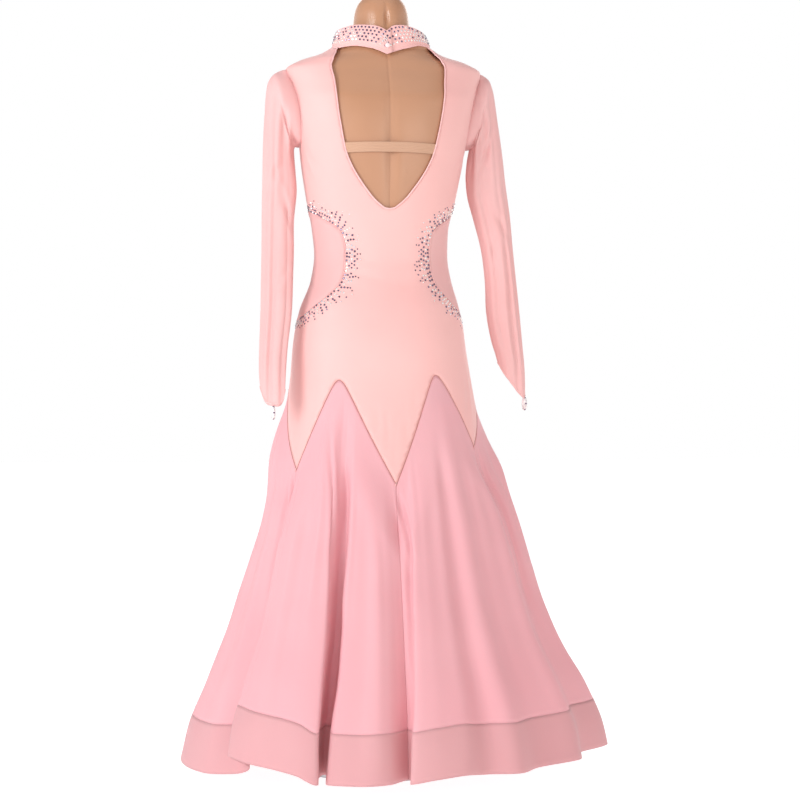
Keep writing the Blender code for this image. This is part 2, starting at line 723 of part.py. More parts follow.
def front_turn(path):
    """Right side angles as angles past 180."""
    path = np.asarray(path, float).copy()
    path[:, 0] = np.where(path[:, 0] < 0, path[:, 0] + 360.0, path[:, 0])
    return path


def make_front():
    left_shoulder = np.array([(90.0, ARMHOLE[0][1]), (90.0, collar_edge(90.0, "bottom"))])
    right_shoulder = np.array([(270.0, collar_edge(-90.0, "bottom")), (270.0, ARMHOLE[0][1])])
    upper_side = np.array([(SIDE_SEAM, ARMHOLE[ARMHOLE_FOOT][1]), (SIDE_SEAM, INSET[INSET_TIP][1])])
    lower_side = np.array([(SIDE_SEAM, INSET[INSET_FOOT][1]),
                           (SIDE_SEAM, hip_seam_height(SIDE_SEAM))])
    right_side = np.array([(360.0 - SIDE_SEAM, hip_seam_height(-SIDE_SEAM)),
                           (360.0 - SIDE_SEAM, INSET[INSET_FOOT][1])])
    paths = shared(neck_path(90.0, 270.0)) + spaced(right_shoulder)
    paths += shared(front_turn(mirrored(armhole_side(False)))[::-1])
    paths += spaced(front_turn(mirrored(upper_side))[::-1],
                    front_turn(mirrored(inset_side(False)))[::-1], right_side[::-1])
    paths += shared(hip_path(SIDE_SEAM, 360.0 - SIDE_SEAM)[::-1])
    paths += spaced(lower_side[::-1], inset_side(False)[::-1], upper_side[::-1])
    paths += shared(armhole_side(False)[::-1]) + spaced(left_shoulder)
    return body_panel("front_bodice", reverse(paths), BODICE_WALL, ROSE_BODICE, 0.55, 0.3)


def make_inset(name, side):
    back, front = inset_side(True), inset_side(False)
    paths = [back, front[::-1]] if side > 0 else [mirrored(back), mirrored(front[::-1])]
    return body_panel(name, spaced(*paths), MESH_WALL, ROSE_MESH, 0.65, 0.2)


def make_strap():
    """The elastic across the open back, held at both keyhole edges."""
    angle, height = wrap_round(even_steps(lay_flat(round_off(KEYHOLE)), PANEL_SPACING))
    half = STRAP_WIDTH / 2.0
    levels = np.linspace(STRAP_CENTRE - half, STRAP_CENTRE + half, STRAP_ROWS)
    reach = np.interp(levels, height, angle)
    across = np.linspace(1.0, -1.0, STRAP_COLUMNS)
    grid = np.array([body_point(across * r, level + STRAP_RISE * (1.0 - across ** 2))
                     for level, r in zip(levels, reach)])
    grid = draw_in(grid, SEAM_GAP)
    return cloth("back_strap", grid.reshape(-1, 3), grid_faces(*grid.shape[:2]), STRAP_WALL,
                 NUDE_ELASTIC, 0.6, 0.1)


def collar_point(angle, up):
    """The collar's outer face; up runs from 0 at the neckline to 1 at the top edge."""
    bottom = body_point(angle, collar_edge(angle, "bottom"))
    top = ring_point(angle, collar_edge(angle, "top"), COLLAR_TOP_LEFT, COLLAR_TOP_RIGHT,
                     COLLAR_TOP_BACK, COLLAR_TOP_FRONT, 2.1)
    return bottom + (top - bottom) * up


def make_collar():
    """A band round the neck whose left end laps over its right end at the back."""
    ends = [-COLLAR_LAP, COLLAR_LAP, 360.0 - COLLAR_LAP, 360.0 + COLLAR_LAP]
    angles = np.sort(np.concatenate([np.arange(0.0, 360.1, COLLAR_STEP), ends]))
    wrapped = (angles + 180.0) % 360.0 - 180.0
    lift = (COLLAR_WALL + LAP_GAP) * soft_step((4.0 * COLLAR_LAP - angles) / (2.0 * COLLAR_LAP))
    away = np.stack([np.sin(np.radians(angles)), np.cos(np.radians(angles)), 0.0 * angles], 1)
    rows = []
    for up in np.linspace(1.0, 0.0, COLLAR_ROWS + 1):
        row = collar_point(wrapped, up) + away * lift[:, None]
        row[:, 2] += SEAM_GAP * (up == 0.0)
        rows.append(row)
    grid = np.array(rows)
    return cloth("collar", grid.reshape(-1, 3), grid_faces(*grid.shape[:2]), COLLAR_WALL,
                 ROSE_BODICE, 0.5, 0.3)


def make_button():
    """A small clear domed button at the collar's lap."""
    face = collar_point(np.array([0.0]), BUTTON_PLACE)[0]
    start = face[1] + COLLAR_WALL + LAP_GAP + BUTTON_STANDOFF
    points, faces = [], []
    for radius, out in BUTTON_PROFILE:
        for k in range(BUTTON_SIDES):
            turn = 2.0 * np.pi * k / BUTTON_SIDES
            points.append((face[0] + BUTTON_RADIUS * radius * np.cos(turn),
                           start + BUTTON_DEPTH * out,
                           face[2] + BUTTON_RADIUS * radius * np.sin(turn)))
    last = (len(BUTTON_PROFILE) - 1) * BUTTON_SIDES
    for base in range(0, last, BUTTON_SIDES):
        for k in range(BUTTON_SIDES):
            n = (k + 1) % BUTTON_SIDES
            a, b = base + k, base + n
            faces.append((a, a + BUTTON_SIDES, b + BUTTON_SIDES, b))
    smooth = len(faces)
    faces.append(tuple(range(BUTTON_SIDES)))
    faces.append(tuple(reversed(range(last, last + BUTTON_SIDES))))
    return make_object("collar_button", points, faces, smooth, BUTTON_GLASS, 0.15)


def armhole_ring(side):
    """The armhole as a sleeve ring, from the shoulder down the back and up the front."""
    down = lay_flat(armhole_side(True))[:-1]
    up = lay_flat(armhole_side(False))[::-1][:-1]
    ring = shrink(np.concatenate([down, up]), SEAM_GAP)
    angle, height = wrap_round(ring)
    return body_point(side * angle, height) + body_normal(side * angle, height) * 2.0 * SEAM_GAP


def make_sleeve(name, table, side, cuff_point):
    """An empty sleeve: rings from the armhole to the cuff, with long soft pleats."""
    turn = 2.0 * np.pi * np.arange(SLEEVE_SIDES) / SLEEVE_SIDES
    rings = [armhole_ring(side)]
    last = len(table) - 1
    for i, row in enumerate(table):
        size = dict(zip(SLEEVE_COLUMNS, row))
        outer = np.array([size["outer_x"], size["shift_y"] - size["slant_y"], size["outer_z"]])
        inner = np.array([size["inner_x"], size["shift_y"] + size["slant_y"], size["inner_z"]])
        centre, reach = (outer + inner) / 2.0, (outer - inner) / 2.0
        grown = soft_step(i / 4.0)
        pleat = 1.0 + grown * SLEEVE_PLEAT_DEPTH / size["half_depth"] * np.cos(
            SLEEVE_PLEATS * turn + 0.25 * i)
        depth = np.array([0.0, size["half_depth"], 0.0])
        ring = centre + np.cos(turn)[:, None] * reach + (pleat * np.sin(turn))[:, None] * depth
        if i == last:
            ring[:, 2] -= cuff_point * soft_step(np.sin(turn))
        ring[:, 0] += AXIS_X
        ring[:, 1] += AXIS_Y
        rings.append(ring)
    grid = np.array(rings)
    faces = grid_faces(*grid.shape[:2], closed=True)
    if side > 0:
        faces = faces[:, ::-1]
    return cloth(name, grid.reshape(-1, 3), faces, MESH_WALL, ROSE_MESH, 0.65, 0.2), grid


def make_loop(name, tip):
    """A small elastic ring hanging from the cuff's point, open to the wearer's sides."""
    centre = tip - np.array([0.0, 0.0, LOOP_RADIUS + LOOP_WALL + 3.0 * SEAM_GAP])
    turn = 2.0 * np.pi * np.arange(LOOP_SIDES) / LOOP_SIDES
    points, faces = [], []
    section = ((LOOP_RADIUS, -0.5), (LOOP_RADIUS + LOOP_WALL, -0.5),
               (LOOP_RADIUS + LOOP_WALL, 0.5), (LOOP_RADIUS, 0.5))
    for radius, out in section:
        for t in turn:
            points.append(centre + np.array([LOOP_BAND * out, radius * np.cos(t),
                                             radius * np.sin(t)]))
    for r in range(len(section)):
        for k in range(LOOP_SIDES):
            n = (k + 1) % LOOP_SIDES
            a, b = r * LOOP_SIDES + k, r * LOOP_SIDES + n
            d, e = (r + 1) % 4 * LOOP_SIDES + k, (r + 1) % 4 * LOOP_SIDES + n
            faces.append((a, b, e, d))
    return make_object(name, points, faces, len(faces), PALE_ELASTIC, 0.4, sheen=0.1)


def panel_angles(start, end):
    """Hip angles of a skirt panel's columns: each fold mark and the places between."""
    marks = column(FOLDS, FOLD_COLUMNS, "hip_angle")
    marks = np.concatenate([marks, marks + 360.0])
    seams = np.array([SIDE_SEAM, 360.0 - SIDE_SEAM])
    marks = marks[np.min(np.abs(marks[:, None] - seams), axis=1) > 2.5]
    marks = np.concatenate([marks, seams])
    marks = marks[(marks > start + 1.5) & (marks < end - 1.5)]
    marks = np.sort(np.concatenate([[start], marks, [end]]))
    middles = (marks[:-1] + marks[1:]) / 2.0
    middles = middles[np.diff(marks) > WIDEST_STEP]
    return np.sort(np.concatenate([marks, middles]))


def skirt_columns():
    """Hip angles of every column round the skirt, and the place of each panel's first."""
    angles, starts = [], []
    for start, end in zip(PANEL_EDGES[:-1], PANEL_EDGES[1:]):
        starts.append(len(angles))
        angles += list(panel_angles(start, end)[:-1])
    return np.array(angles), starts + [len(angles)]


def make_skirt():
    """Five flared panels from point to point of the hip seam, each with its hem band."""
    angles, starts = skirt_columns()
    hem = ease_round(angles, column(FOLDS, FOLD_COLUMNS, "hip_angle"),
                     column(FOLDS, FOLD_COLUMNS, "hem_height"))
    band = 1.0 - HEM_DEPTH / (hip_seam_height(angles) - hem)
    above = np.linspace(0.0, 1.0, SKIRT_ROWS + 1)[:, None] * band
    below = band + np.linspace(0.0, 1.0, HEM_ROWS + 1)[1:, None] * (1.0 - band)
    grid = skirt_point(angles, np.concatenate([above, below]))
    faces = grid_faces(*grid.shape[:2], closed=True)
    normals = point_normals(grid.reshape(-1, 3), faces).reshape(grid.shape)
    normals[0] = body_normal(angles, hip_seam_height(angles))
    upper = slice(0, SKIRT_ROWS + 1)
    lower = slice(SKIRT_ROWS, SKIRT_ROWS + HEM_ROWS + 1)
    for number, (start, end) in enumerate(zip(starts[:-1], starts[1:]), 1):
        columns = np.arange(start, end + 1) % len(angles)
        for name, rows, wall, colour in (("skirt_panel", upper, SKIRT_WALL, ROSE_SKIRT),
                                         ("hem_band", lower, HEM_WALL, ROSE_HEM)):
            piece = draw_in(grid[rows][:, columns], SEAM_GAP / 2.0)
            piece = draw_in(piece.swapaxes(0, 1), SEAM_GAP / 2.0).swapaxes(0, 1)
            directions = normals[rows][:, columns].reshape(-1, 3)
            cloth(f"{name}_{number}", piece.reshape(-1, 3),
                  grid_faces(*piece.shape[:2]), wall, colour, 0.6, 0.4, directions)


def make_form():
    """The limbless torso with a neck stub, just inside the cloth."""
    angles = np.linspace(0.0, 360.0, FORM_SIDES, endpoint=False)
    wrapped = (angles + 180.0) % 360.0 - 180.0
    turn = np.radians(angles)
    rings = []
    for height in FORM_ROWS:
        near_top = soft_step((height - SHOULDER_EASE_START) / SHOULDER_EASE)
        clearance = FORM_CLEARANCE + (SHOULDER_CLEARANCE - FORM_CLEARANCE) * near_top
        inward = BODICE_WALL + clearance
        ring = body_point(wrapped, height) - body_normal(wrapped, height) * inward
        off = np.hypot((np.abs(wrapped) - SHOULDER_END_ANGLE) / SHOULDER_END_SPREAD,
                       (height - SHOULDER_END_HEIGHT) / SHOULDER_END_REACH)
        ring[:, 0] += np.sign(wrapped) * SHOULDER_END * soft_step(1.0 - off)
        if height == FORM_BOTTOM:
            ring[:, 2] = FORM_BOTTOM
        rings.append(ring)
    for height, width, depth in NECK:
        rings.append(ring_point(wrapped, height, width, width, depth, depth, 2.0))
    grid = np.array(rings)
    rows = len(rings)
    points = list(grid.reshape(-1, 3))
    faces = [tuple(f) for f in grid_faces(rows, FORM_SIDES, closed=True)[:, ::-1]]
    smooth = len(faces)
    points.append(np.array([AXIS_X, AXIS_Y, NECK_TOP]))
    points.append(np.array([AXIS_X, AXIS_Y, FORM_BOTTOM]))
    top, bottom = len(points) - 2, len(points) - 1
    last = (rows - 1) * FORM_SIDES
    for k in range(FORM_SIDES):
        n = (k + 1) % FORM_SIDES
        faces.append((last + n, last + k, top))
        faces.append((k, n, bottom))
    return make_object("form_torso", points, faces, smooth, TAN_COVER, 0.75, sheen=0.1)


def turned(name, profile, sides, colour, roughness, metallic):
    """A closed round solid from rows of radius and height."""
    points, faces = [], []
    for radius, height in profile:
        for k in range(sides):
            turn = 2.0 * np.pi * k / sides
            points.append((AXIS_X + radius * np.cos(turn), AXIS_Y + radius * np.sin(turn), height))
    for r in range(len(profile) - 1):
        for k in range(sides):
            n = (k + 1) % sides
            a, b = r * sides + k, r * sides + n
            faces.append((a, b, b + sides, a + sides))
    smooth = len(faces)
    faces.append(tuple(reversed(range(sides))))
    faces.append(tuple(range((len(profile) - 1) * sides, len(profile) * sides)))
    return make_object(name, points, faces, smooth, colour, roughness, metallic=metallic)


def main():
    clear_scene()
    make_back()
    make_front()
    make_inset("waist_inset_left", 1)
    make_inset("waist_inset_right", -1)
    make_strap()
    make_collar()
    make_button()
    half = SLEEVE_SIDES // 4
    _, rings = make_sleeve("sleeve_left", SLEEVE_LEFT, 1, LEFT_CUFF_POINT)
    make_loop("finger_loop_left", rings[-1][half] - np.array([0.0, MESH_WALL / 2.0, 0.0]))
    _, rings = make_sleeve("sleeve_right", SLEEVE_RIGHT, -1, RIGHT_CUFF_POINT)
    make_loop("finger_loop_right", rings[-1][0] + np.array([MESH_WALL, 0.0, 0.0]))
    make_skirt()
    make_form()
    turned("form_pole", ((POLE_RADIUS, BASE_HEIGHT + SEAM_GAP),
                         (POLE_RADIUS, FORM_BOTTOM - SEAM_GAP)),
           POLE_SIDES, STEEL, 0.3, 1.0)
    turned("form_base", ((BASE_RADIUS, 0.0), (BASE_RADIUS, BASE_HEIGHT - BASE_BEVEL),
                         (BASE_RADIUS - BASE_BEVEL, BASE_HEIGHT)),
           BASE_SIDES, STEEL, 0.35, 1.0)


main()
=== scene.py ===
import math

import bpy
import numpy as np
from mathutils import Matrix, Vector
from mathutils.geometry import delaunay_2d_cdt


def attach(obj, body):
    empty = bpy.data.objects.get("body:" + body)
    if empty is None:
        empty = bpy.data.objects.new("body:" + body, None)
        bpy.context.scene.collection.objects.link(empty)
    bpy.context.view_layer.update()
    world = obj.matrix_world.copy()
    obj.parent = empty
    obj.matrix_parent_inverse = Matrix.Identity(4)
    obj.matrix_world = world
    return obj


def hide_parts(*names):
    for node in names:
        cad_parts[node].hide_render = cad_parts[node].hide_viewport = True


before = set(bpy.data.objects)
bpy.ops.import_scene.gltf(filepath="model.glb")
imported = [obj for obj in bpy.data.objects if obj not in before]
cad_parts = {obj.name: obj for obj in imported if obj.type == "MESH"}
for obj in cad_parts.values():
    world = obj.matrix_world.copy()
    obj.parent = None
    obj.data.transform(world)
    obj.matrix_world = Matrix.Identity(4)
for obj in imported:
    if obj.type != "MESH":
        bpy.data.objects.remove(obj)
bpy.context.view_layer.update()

# Metres, +Z up. Angles round the body run from the centre back (0) over the
# wearer's left side (90) to the front (180). The tables are the part's own.

# Cloth walls and the gaps between pieces
BODICE_WALL = 0.0014
MESH_WALL = 0.0012
COLLAR_WALL = 0.0018
SEAM_GAP = 0.0003
FORM_CLEARANCE = 0.0022
PANEL_SPACING = 0.026

# The body axis inside the part's footprint
AXIS_X = 0.024
AXIS_Y = 0.0

# Sections of the fitted bodice
SECTION_COLUMNS = ("height", "left", "right", "back", "front", "fullness")
SECTIONS = (
    (0.490, 0.198, 0.198, 0.172, 0.168, 2.1),
    (0.570, 0.190, 0.190, 0.158, 0.150, 2.1),
    (0.650, 0.178, 0.178, 0.142, 0.131, 2.2),
    (0.724, 0.168, 0.165, 0.130, 0.114, 2.3),
    (0.784, 0.163, 0.155, 0.124, 0.108, 2.3),
    (0.843, 0.152, 0.146, 0.111, 0.104, 2.3),
    (0.902, 0.130, 0.129, 0.095, 0.098, 2.2),
    (0.946, 0.1235, 0.1225, 0.088, 0.097, 2.2),
    (0.991, 0.1275, 0.1245, 0.090, 0.102, 2.2),
    (1.050, 0.1385, 0.1385, 0.098, 0.118, 2.2),
    (1.109, 0.147, 0.150, 0.106, 0.134, 2.2),
    (1.168, 0.153, 0.160, 0.108, 0.126, 2.3),
    (1.228, 0.160, 0.172, 0.102, 0.106, 2.3),
    (1.260, 0.168, 0.180, 0.092, 0.090, 2.1),
    (1.287, 0.177, 0.187, 0.078, 0.074, 2.0),
    (1.302, 0.155, 0.163, 0.072, 0.067, 2.0),
    (1.316, 0.114, 0.118, 0.066, 0.064, 2.0),
    (1.331, 0.090, 0.092, 0.061, 0.061, 2.0),
)

# Sections of the flared skirt between its folds
FLARE_COLUMNS = ("height", "left", "right", "back", "front")
FLARES = (
    (0.010, 0.368, 0.418, 0.352, 0.358),
    (0.090, 0.350, 0.402, 0.336, 0.342),
    (0.160, 0.323, 0.372, 0.314, 0.320),
    (0.220, 0.298, 0.338, 0.290, 0.296),
    (0.280, 0.275, 0.309, 0.266, 0.270),
    (0.340, 0.256, 0.288, 0.242, 0.246),
    (0.400, 0.238, 0.271, 0.220, 0.222),
    (0.460, 0.220, 0.253, 0.200, 0.200),
    (0.520, 0.209, 0.234, 0.182, 0.180),
    (0.580, 0.206, 0.215, 0.166, 0.160),
    (0.640, 0.200, 0.199, 0.150, 0.140),
    (0.720, 0.170, 0.167, 0.131, 0.115),
)

# The zigzag seam at the hips, apex and point in turn
HIP_SEAM_COLUMNS = ("angle", "height")
HIP_SEAM = (
    (-180.0, 0.712),
    (-135.0, 0.570),
    (-90.0, 0.700),
    (-56.0, 0.594),
    (-28.0, 0.725),
    (0.0, 0.529),
    (33.0, 0.716),
    (60.0, 0.554),
    (98.0, 0.700),
    (139.0, 0.560),
    (180.0, 0.712),
)
HIP_APEX_ROUND = 0.12

# Skirt folds: where each crest or valley leaves the hips and where it meets the hem
FOLD_COLUMNS = ("hip_angle", "hem_angle", "depth", "start", "hem_height")
FOLDS = (
    (-180, -180, -0.034, 0.66, 0.030),
    (-169, -172, 0.010, 0.62, 0.030),
    (-156, -152, 0.013, 0.58, 0.032),
    (-149, -149.5, -0.028, 0.54, 0.035),
    (-144, -147, -0.045, 0.54, 0.036),
    (-139, -144, -0.018, 0.54, 0.035),
    (-134, -140.5, 0.015, 0.54, 0.034),
    (-122, -118, 0.012, 0.60, 0.032),
    (-109, -114, -0.046, 0.66, 0.036),
    (-101, -107, 0.014, 0.66, 0.040),
    (-92, -95, 0.006, 0.64, 0.056),
    (-84, -86, 0.002, 0.62, 0.062),
    (-77, -83, -0.034, 0.62, 0.053),
    (-68, -76, 0.010, 0.58, 0.046),
    (-59, -62, -0.024, 0.62, 0.043),
    (-48, -48, 0.010, 0.62, 0.043),
    (-38, -36, -0.012, 0.66, 0.038),
    (-30, -27, 0.008, 0.68, 0.036),
    (-22, -19, -0.012, 0.64, 0.036),
    (-15.5, -12, 0.008, 0.60, 0.040),
    (-11, -4.6, 0.015, 0.60, 0.036),
    (-7.2, 1.1, 0.006, 0.60, 0.029),
    (-4.2, -0.2, -0.024, 0.60, 0.028),
    (0, 0.6, -0.045, 0.58, 0.028),
    (3.5, 3.2, -0.033, 0.57, 0.027),
    (7.5, 6.6, -0.012, 0.55, 0.026),
    (14, 14, 0.000, 0.55, 0.025),
    (21, 23.4, -0.006, 0.66, 0.025),
    (24.5, 26.2, -0.054, 0.70, 0.028),
    (26.8, 27.4, -0.079, 0.70, 0.030),
    (28.6, 29.6, -0.077, 0.70, 0.030),
    (30.8, 29.2, -0.048, 0.68, 0.028),
    (34, 26.0, 0.012, 0.66, 0.027),
    (38, 31.5, 0.020, 0.62, 0.042),
    (43, 38, 0.022, 0.58, 0.050),
    (52, 47, 0.020, 0.60, 0.0555),
    (58, 56.0, 0.010, 0.64, 0.061),
    (62, 54.6, -0.018, 0.66, 0.046),
    (66, 54.4, -0.038, 0.66, 0.032),
    (70, 59.8, -0.034, 0.64, 0.023),
    (76, 70, -0.008, 0.60, 0.019),
    (87, 88, 0.002, 0.62, 0.021),
    (98, 103, 0.004, 0.66, 0.028),
    (103, 108.5, -0.030, 0.66, 0.032),
    (107, 112.5, -0.042, 0.66, 0.034),
    (110.5, 113.3, -0.024, 0.65, 0.034),
    (115, 110.5, 0.011, 0.64, 0.034),
    (126, 124, 0.014, 0.60, 0.030),
    (137, 139, 0.012, 0.55, 0.032),
    (141.5, 144.5, -0.028, 0.54, 0.035),
    (145, 147.5, -0.045, 0.54, 0.036),
    (149, 149.3, -0.014, 0.56, 0.034),
    (154, 149.5, 0.013, 0.58, 0.032),
    (166, 167, 0.010, 0.62, 0.030),
)
FLARE_BLEND = 0.14
FOLD_BLEND = 0.08
FOLD_GROWTH = 1.15
HEM_DEPTH = 0.085
PANEL_EDGES = (0.0, 60.0, 139.0, 225.0, 304.0, 360.0)

# Neckline under the collar and the collar's top edge
COLLAR_COLUMNS = ("angle", "bottom", "top")
COLLAR = (
    (-180, 1.300, 1.340),
    (-155, 1.306, 1.342),
    (-130, 1.322, 1.346),
    (-105, 1.330, 1.349),
    (-84, 1.331, 1.352),
    (-48, 1.331, 1.3585),
    (-20, 1.323, 1.3645),
    (-9, 1.3175, 1.3625),
    (-2, 1.3125, 1.3550),
    (0, 1.3105, 1.3530),
    (3, 1.3135, 1.3555),
    (9, 1.3180, 1.3595),
    (16, 1.3220, 1.3620),
    (39, 1.327, 1.3640),
    (60, 1.325, 1.3605),
    (90, 1.330, 1.3555),
    (110, 1.330, 1.352),
    (130, 1.322, 1.347),
    (155, 1.306, 1.342),
)
COLLAR_TOP_LEFT = 0.0865
COLLAR_TOP_RIGHT = 0.0830
COLLAR_TOP_BACK = 0.0600
COLLAR_TOP_FRONT = 0.0660
COLLAR_LAP = 5.0
LAP_GAP = 0.0006
BUTTON_RADIUS = 0.0045
BUTTON_DEPTH = 0.0040
BUTTON_PLACE = 0.34

# The open back, from its lowest point up one side
# Columns: angle, height
KEYHOLE = (
    (0.0, 1.0258),
    (3.5, 1.0272),
    (7.5, 1.0338),
    (12.5, 1.0450),
    (17.5, 1.0610),
    (22.5, 1.0795),
    (27.5, 1.1025),
    (31.2, 1.1285),
    (33.8, 1.1775),
    (35.0, 1.2150),
    (35.3, 1.2500),
    (35.0, 1.2750),
    (35.6, 1.2910),
    (40.5, 1.3045),
    (48.5, 1.3125),
    (56.5, 1.3200),
    (60.0, 1.3255),
)
STRAP_CENTRE = 1.1350
STRAP_WIDTH = 0.0180
STRAP_RISE = 0.0015

# Armhole, from the shoulder point down the back and up the front
# Columns: angle, height
ARMHOLE = (
    (90.0, 1.287),
    (83.0, 1.270),
    (76.0, 1.238),
    (74.0, 1.205),
    (76.0, 1.175),
    (83.0, 1.152),
    (96.0, 1.145),
    (106.0, 1.155),
    (113.0, 1.180),
    (115.0, 1.212),
    (110.0, 1.245),
    (101.0, 1.273),
)
ARMHOLE_FOOT = 6
SIDE_SEAM = 96.0

# Waist insets, from the upper tip down the back edge and up the front edge
# Columns: angle, height
INSET = (
    (96.0, 1.028),
    (70.0, 1.016),
    (54.0, 1.003),
    (44.0, 0.992),
    (39.5, 0.976),
    (37.5, 0.955),
    (37.0, 0.934),
    (38.5, 0.902),
    (42.0, 0.886),
    (48.5, 0.870),
    (58.0, 0.853),
    (72.0, 0.836),
    (96.0, 0.824),
    (112.0, 0.842),
    (124.0, 0.876),
    (130.0, 0.920),
    (126.0, 0.966),
    (114.0, 1.004),
)
INSET_TIP = 0
INSET_FOOT = 12

# Sleeve rings: the edge away from the body, the edge beside it, then depth, place and slant
SLEEVE_COLUMNS = ("outer_x", "outer_z", "inner_x", "inner_z", "half_depth", "shift_y", "slant_y")
SLEEVE_LEFT = (
    (0.1960, 1.2790, 0.1600, 1.1470, 0.040, -0.008, 0.000),
    (0.2075, 1.2660, 0.1620, 1.1440, 0.037, -0.007, 0.000),
    (0.2125, 1.2480, 0.1630, 1.1380, 0.034, -0.006, 0.000),
    (0.2160, 1.2050, 0.1620, 1.1200, 0.031, -0.004, 0.000),
    (0.2190, 1.1480, 0.1600, 1.0950, 0.028, -0.001, 0.002),
    (0.2205, 1.0850, 0.1590, 1.0600, 0.026, 0.004, 0.005),
    (0.2220, 1.0200, 0.1650, 1.0080, 0.024, 0.010, 0.008),
    (0.2230, 0.9600, 0.1660, 0.9550, 0.022, 0.018, 0.010),
    (0.2250, 0.9000, 0.1690, 0.9000, 0.021, 0.028, 0.012),
    (0.2270, 0.8400, 0.1730, 0.8400, 0.020, 0.040, 0.014),
    (0.2310, 0.7800, 0.1820, 0.7800, 0.018, 0.056, 0.014),
    (0.2330, 0.7350, 0.1870, 0.7350, 0.017, 0.068, 0.014),
    (0.2320, 0.7020, 0.1900, 0.6960, 0.016, 0.078, 0.014),
)
SLEEVE_RIGHT = (
    (-0.2010, 1.2790, -0.1690, 1.1470, 0.040, -0.008, 0.000),
    (-0.2090, 1.2660, -0.1680, 1.1420, 0.037, -0.007, 0.000),
    (-0.2140, 1.2480, -0.1660, 1.1340, 0.034, -0.006, 0.000),
    (-0.2200, 1.2050, -0.1630, 1.1160, 0.031, -0.004, 0.000),
    (-0.2290, 1.1400, -0.1610, 1.0900, 0.028, -0.002, 0.000),
    (-0.2350, 1.0800, -0.1640, 1.0560, 0.026, 0.000, 0.000),
    (-0.2430, 1.0200, -0.1750, 1.0130, 0.024, 0.002, 0.000),
    (-0.2480, 0.9600, -0.1880, 0.9600, 0.023, 0.004, 0.000),
    (-0.2540, 0.9000, -0.1950, 0.9030, 0.022, 0.006, 0.000),
    (-0.2600, 0.8400, -0.1970, 0.8450, 0.021, 0.008, 0.000),
    (-0.2650, 0.7830, -0.2050, 0.7960, 0.019, 0.010, 0.000),
    (-0.2690, 0.7350, -0.2130, 0.7680, 0.017, 0.012, 0.000),
    (-0.2700, 0.6850, -0.2180, 0.7490, 0.015, 0.014, 0.000),
)
SLEEVE_SIDES = 20
SLEEVE_PLEATS = 5
SLEEVE_PLEAT_DEPTH = 0.0022
LEFT_CUFF_POINT = 0.030
RIGHT_CUFF_POINT = 0.012
LOOP_RADIUS = 0.0105
LOOP_BAND = 0.0050
LOOP_WALL = 0.0012

# The limbless form under the dress
FORM_BOTTOM = 0.672
FORM_ROWS = (0.672, 0.710, 0.760, 0.810, 0.850, 0.890, 0.925, 0.960, 1.000, 1.050, 1.110,
             1.160, 1.190, 1.215, 1.240, 1.262, 1.277, 1.288, 1.297, 1.307, 1.318, 1.328)
NECK_COLUMNS = ("height", "half_width", "half_depth")
NECK = (
    (1.340, 0.0660, 0.0590),
    (1.356, 0.0560, 0.0570),
    (1.376, 0.0515, 0.0550),
    (1.392, 0.0495, 0.0530),
    (1.406, 0.0455, 0.0490),
    (1.418, 0.0375, 0.0410),
    (1.428, 0.0270, 0.0300),
    (1.435, 0.0130, 0.0150),
)
NECK_TOP = 1.437
SHOULDER_END = 0.028
SHOULDER_END_ANGLE = 93.0
SHOULDER_END_SPREAD = 14.0
SHOULDER_END_HEIGHT = 1.232
SHOULDER_END_REACH = 0.036
SHOULDER_EASE_START = 1.220
SHOULDER_EASE = 0.050
POLE_RADIUS = 0.0160
BASE_RADIUS = 0.1500
BASE_HEIGHT = 0.0100
BASE_BEVEL = 0.0030

# Bodice pieces are laid out flat as angle times this radius against length along the side
FLAT_RADIUS = 0.14
STEP = 1.0e-4


def column(table, columns, name):
    """One column of a table as an array."""
    place = columns.index(name)
    return np.array([row[place] for row in table], float)


def ease(at, xs, ys):
    """A curve through the table's points that doesn't overshoot them."""
    at = np.clip(np.asarray(at, float), xs[0], xs[-1])
    gaps = np.diff(xs)
    slopes = np.diff(ys) / gaps
    tangents = np.zeros(len(xs))
    tangents[0] = slopes[0]
    tangents[-1] = slopes[-1]
    same_way = slopes[:-1] * slopes[1:] > 0
    total = np.where(same_way, slopes[:-1] + slopes[1:], 1.0)
    tangents[1:-1] = np.where(same_way, 2.0 * slopes[:-1] * slopes[1:] / total, 0.0)
    seg = np.clip(np.searchsorted(xs, at, side="right") - 1, 0, len(gaps) - 1)
    t = (at - xs[seg]) / gaps[seg]
    rise = ys[seg] * (1.0 + 2.0 * t) * (1.0 - t) ** 2 + ys[seg + 1] * t * t * (3.0 - 2.0 * t)
    bend = tangents[seg] * t * (1.0 - t) ** 2 - tangents[seg + 1] * t * t * (1.0 - t)
    return rise + gaps[seg] * bend


def sizes_at(table, columns, height):
    """The sizes of a table of sections at any height."""
    rows = column(table, columns, "height")
    return [ease(height, rows, column(table, columns, name)) for name in columns[1:]]


def ease_round(angle, angles, values):
    """The same curve for a table that runs once round the body."""
    xs = np.concatenate([angles - 360.0, angles, angles + 360.0])
    ys = np.concatenate([values, values, values])
    return ease((np.asarray(angle, float) + 180.0) % 360.0 - 180.0, xs, ys)


def soft_step(t):
    """A smooth rise from 0 to 1."""
    t = np.clip(t, 0.0, 1.0)
    return t * t * (3.0 - 2.0 * t)


def bump(at, middle, width):
    """A soft rise to 1 round a middle."""
    return np.exp(-((at - middle) / width) ** 2)


def unit(vectors):
    """Vectors of the same directions, one metre long."""
    return vectors / np.linalg.norm(vectors, axis=-1, keepdims=True)


def full_turn(sides):
    """Even angles once round a ring."""
    return 2.0 * np.pi * np.arange(sides) / sides


def outward(angle):
    """Level directions away from the body axis."""
    turn = np.radians(angle)
    return np.stack([np.sin(turn), np.cos(turn), 0.0 * angle], axis=-1)


def turn_between(a, b):
    """The turn from one angle to another, from -180 to 180 degrees."""
    return (a - b + 180.0) % 360.0 - 180.0


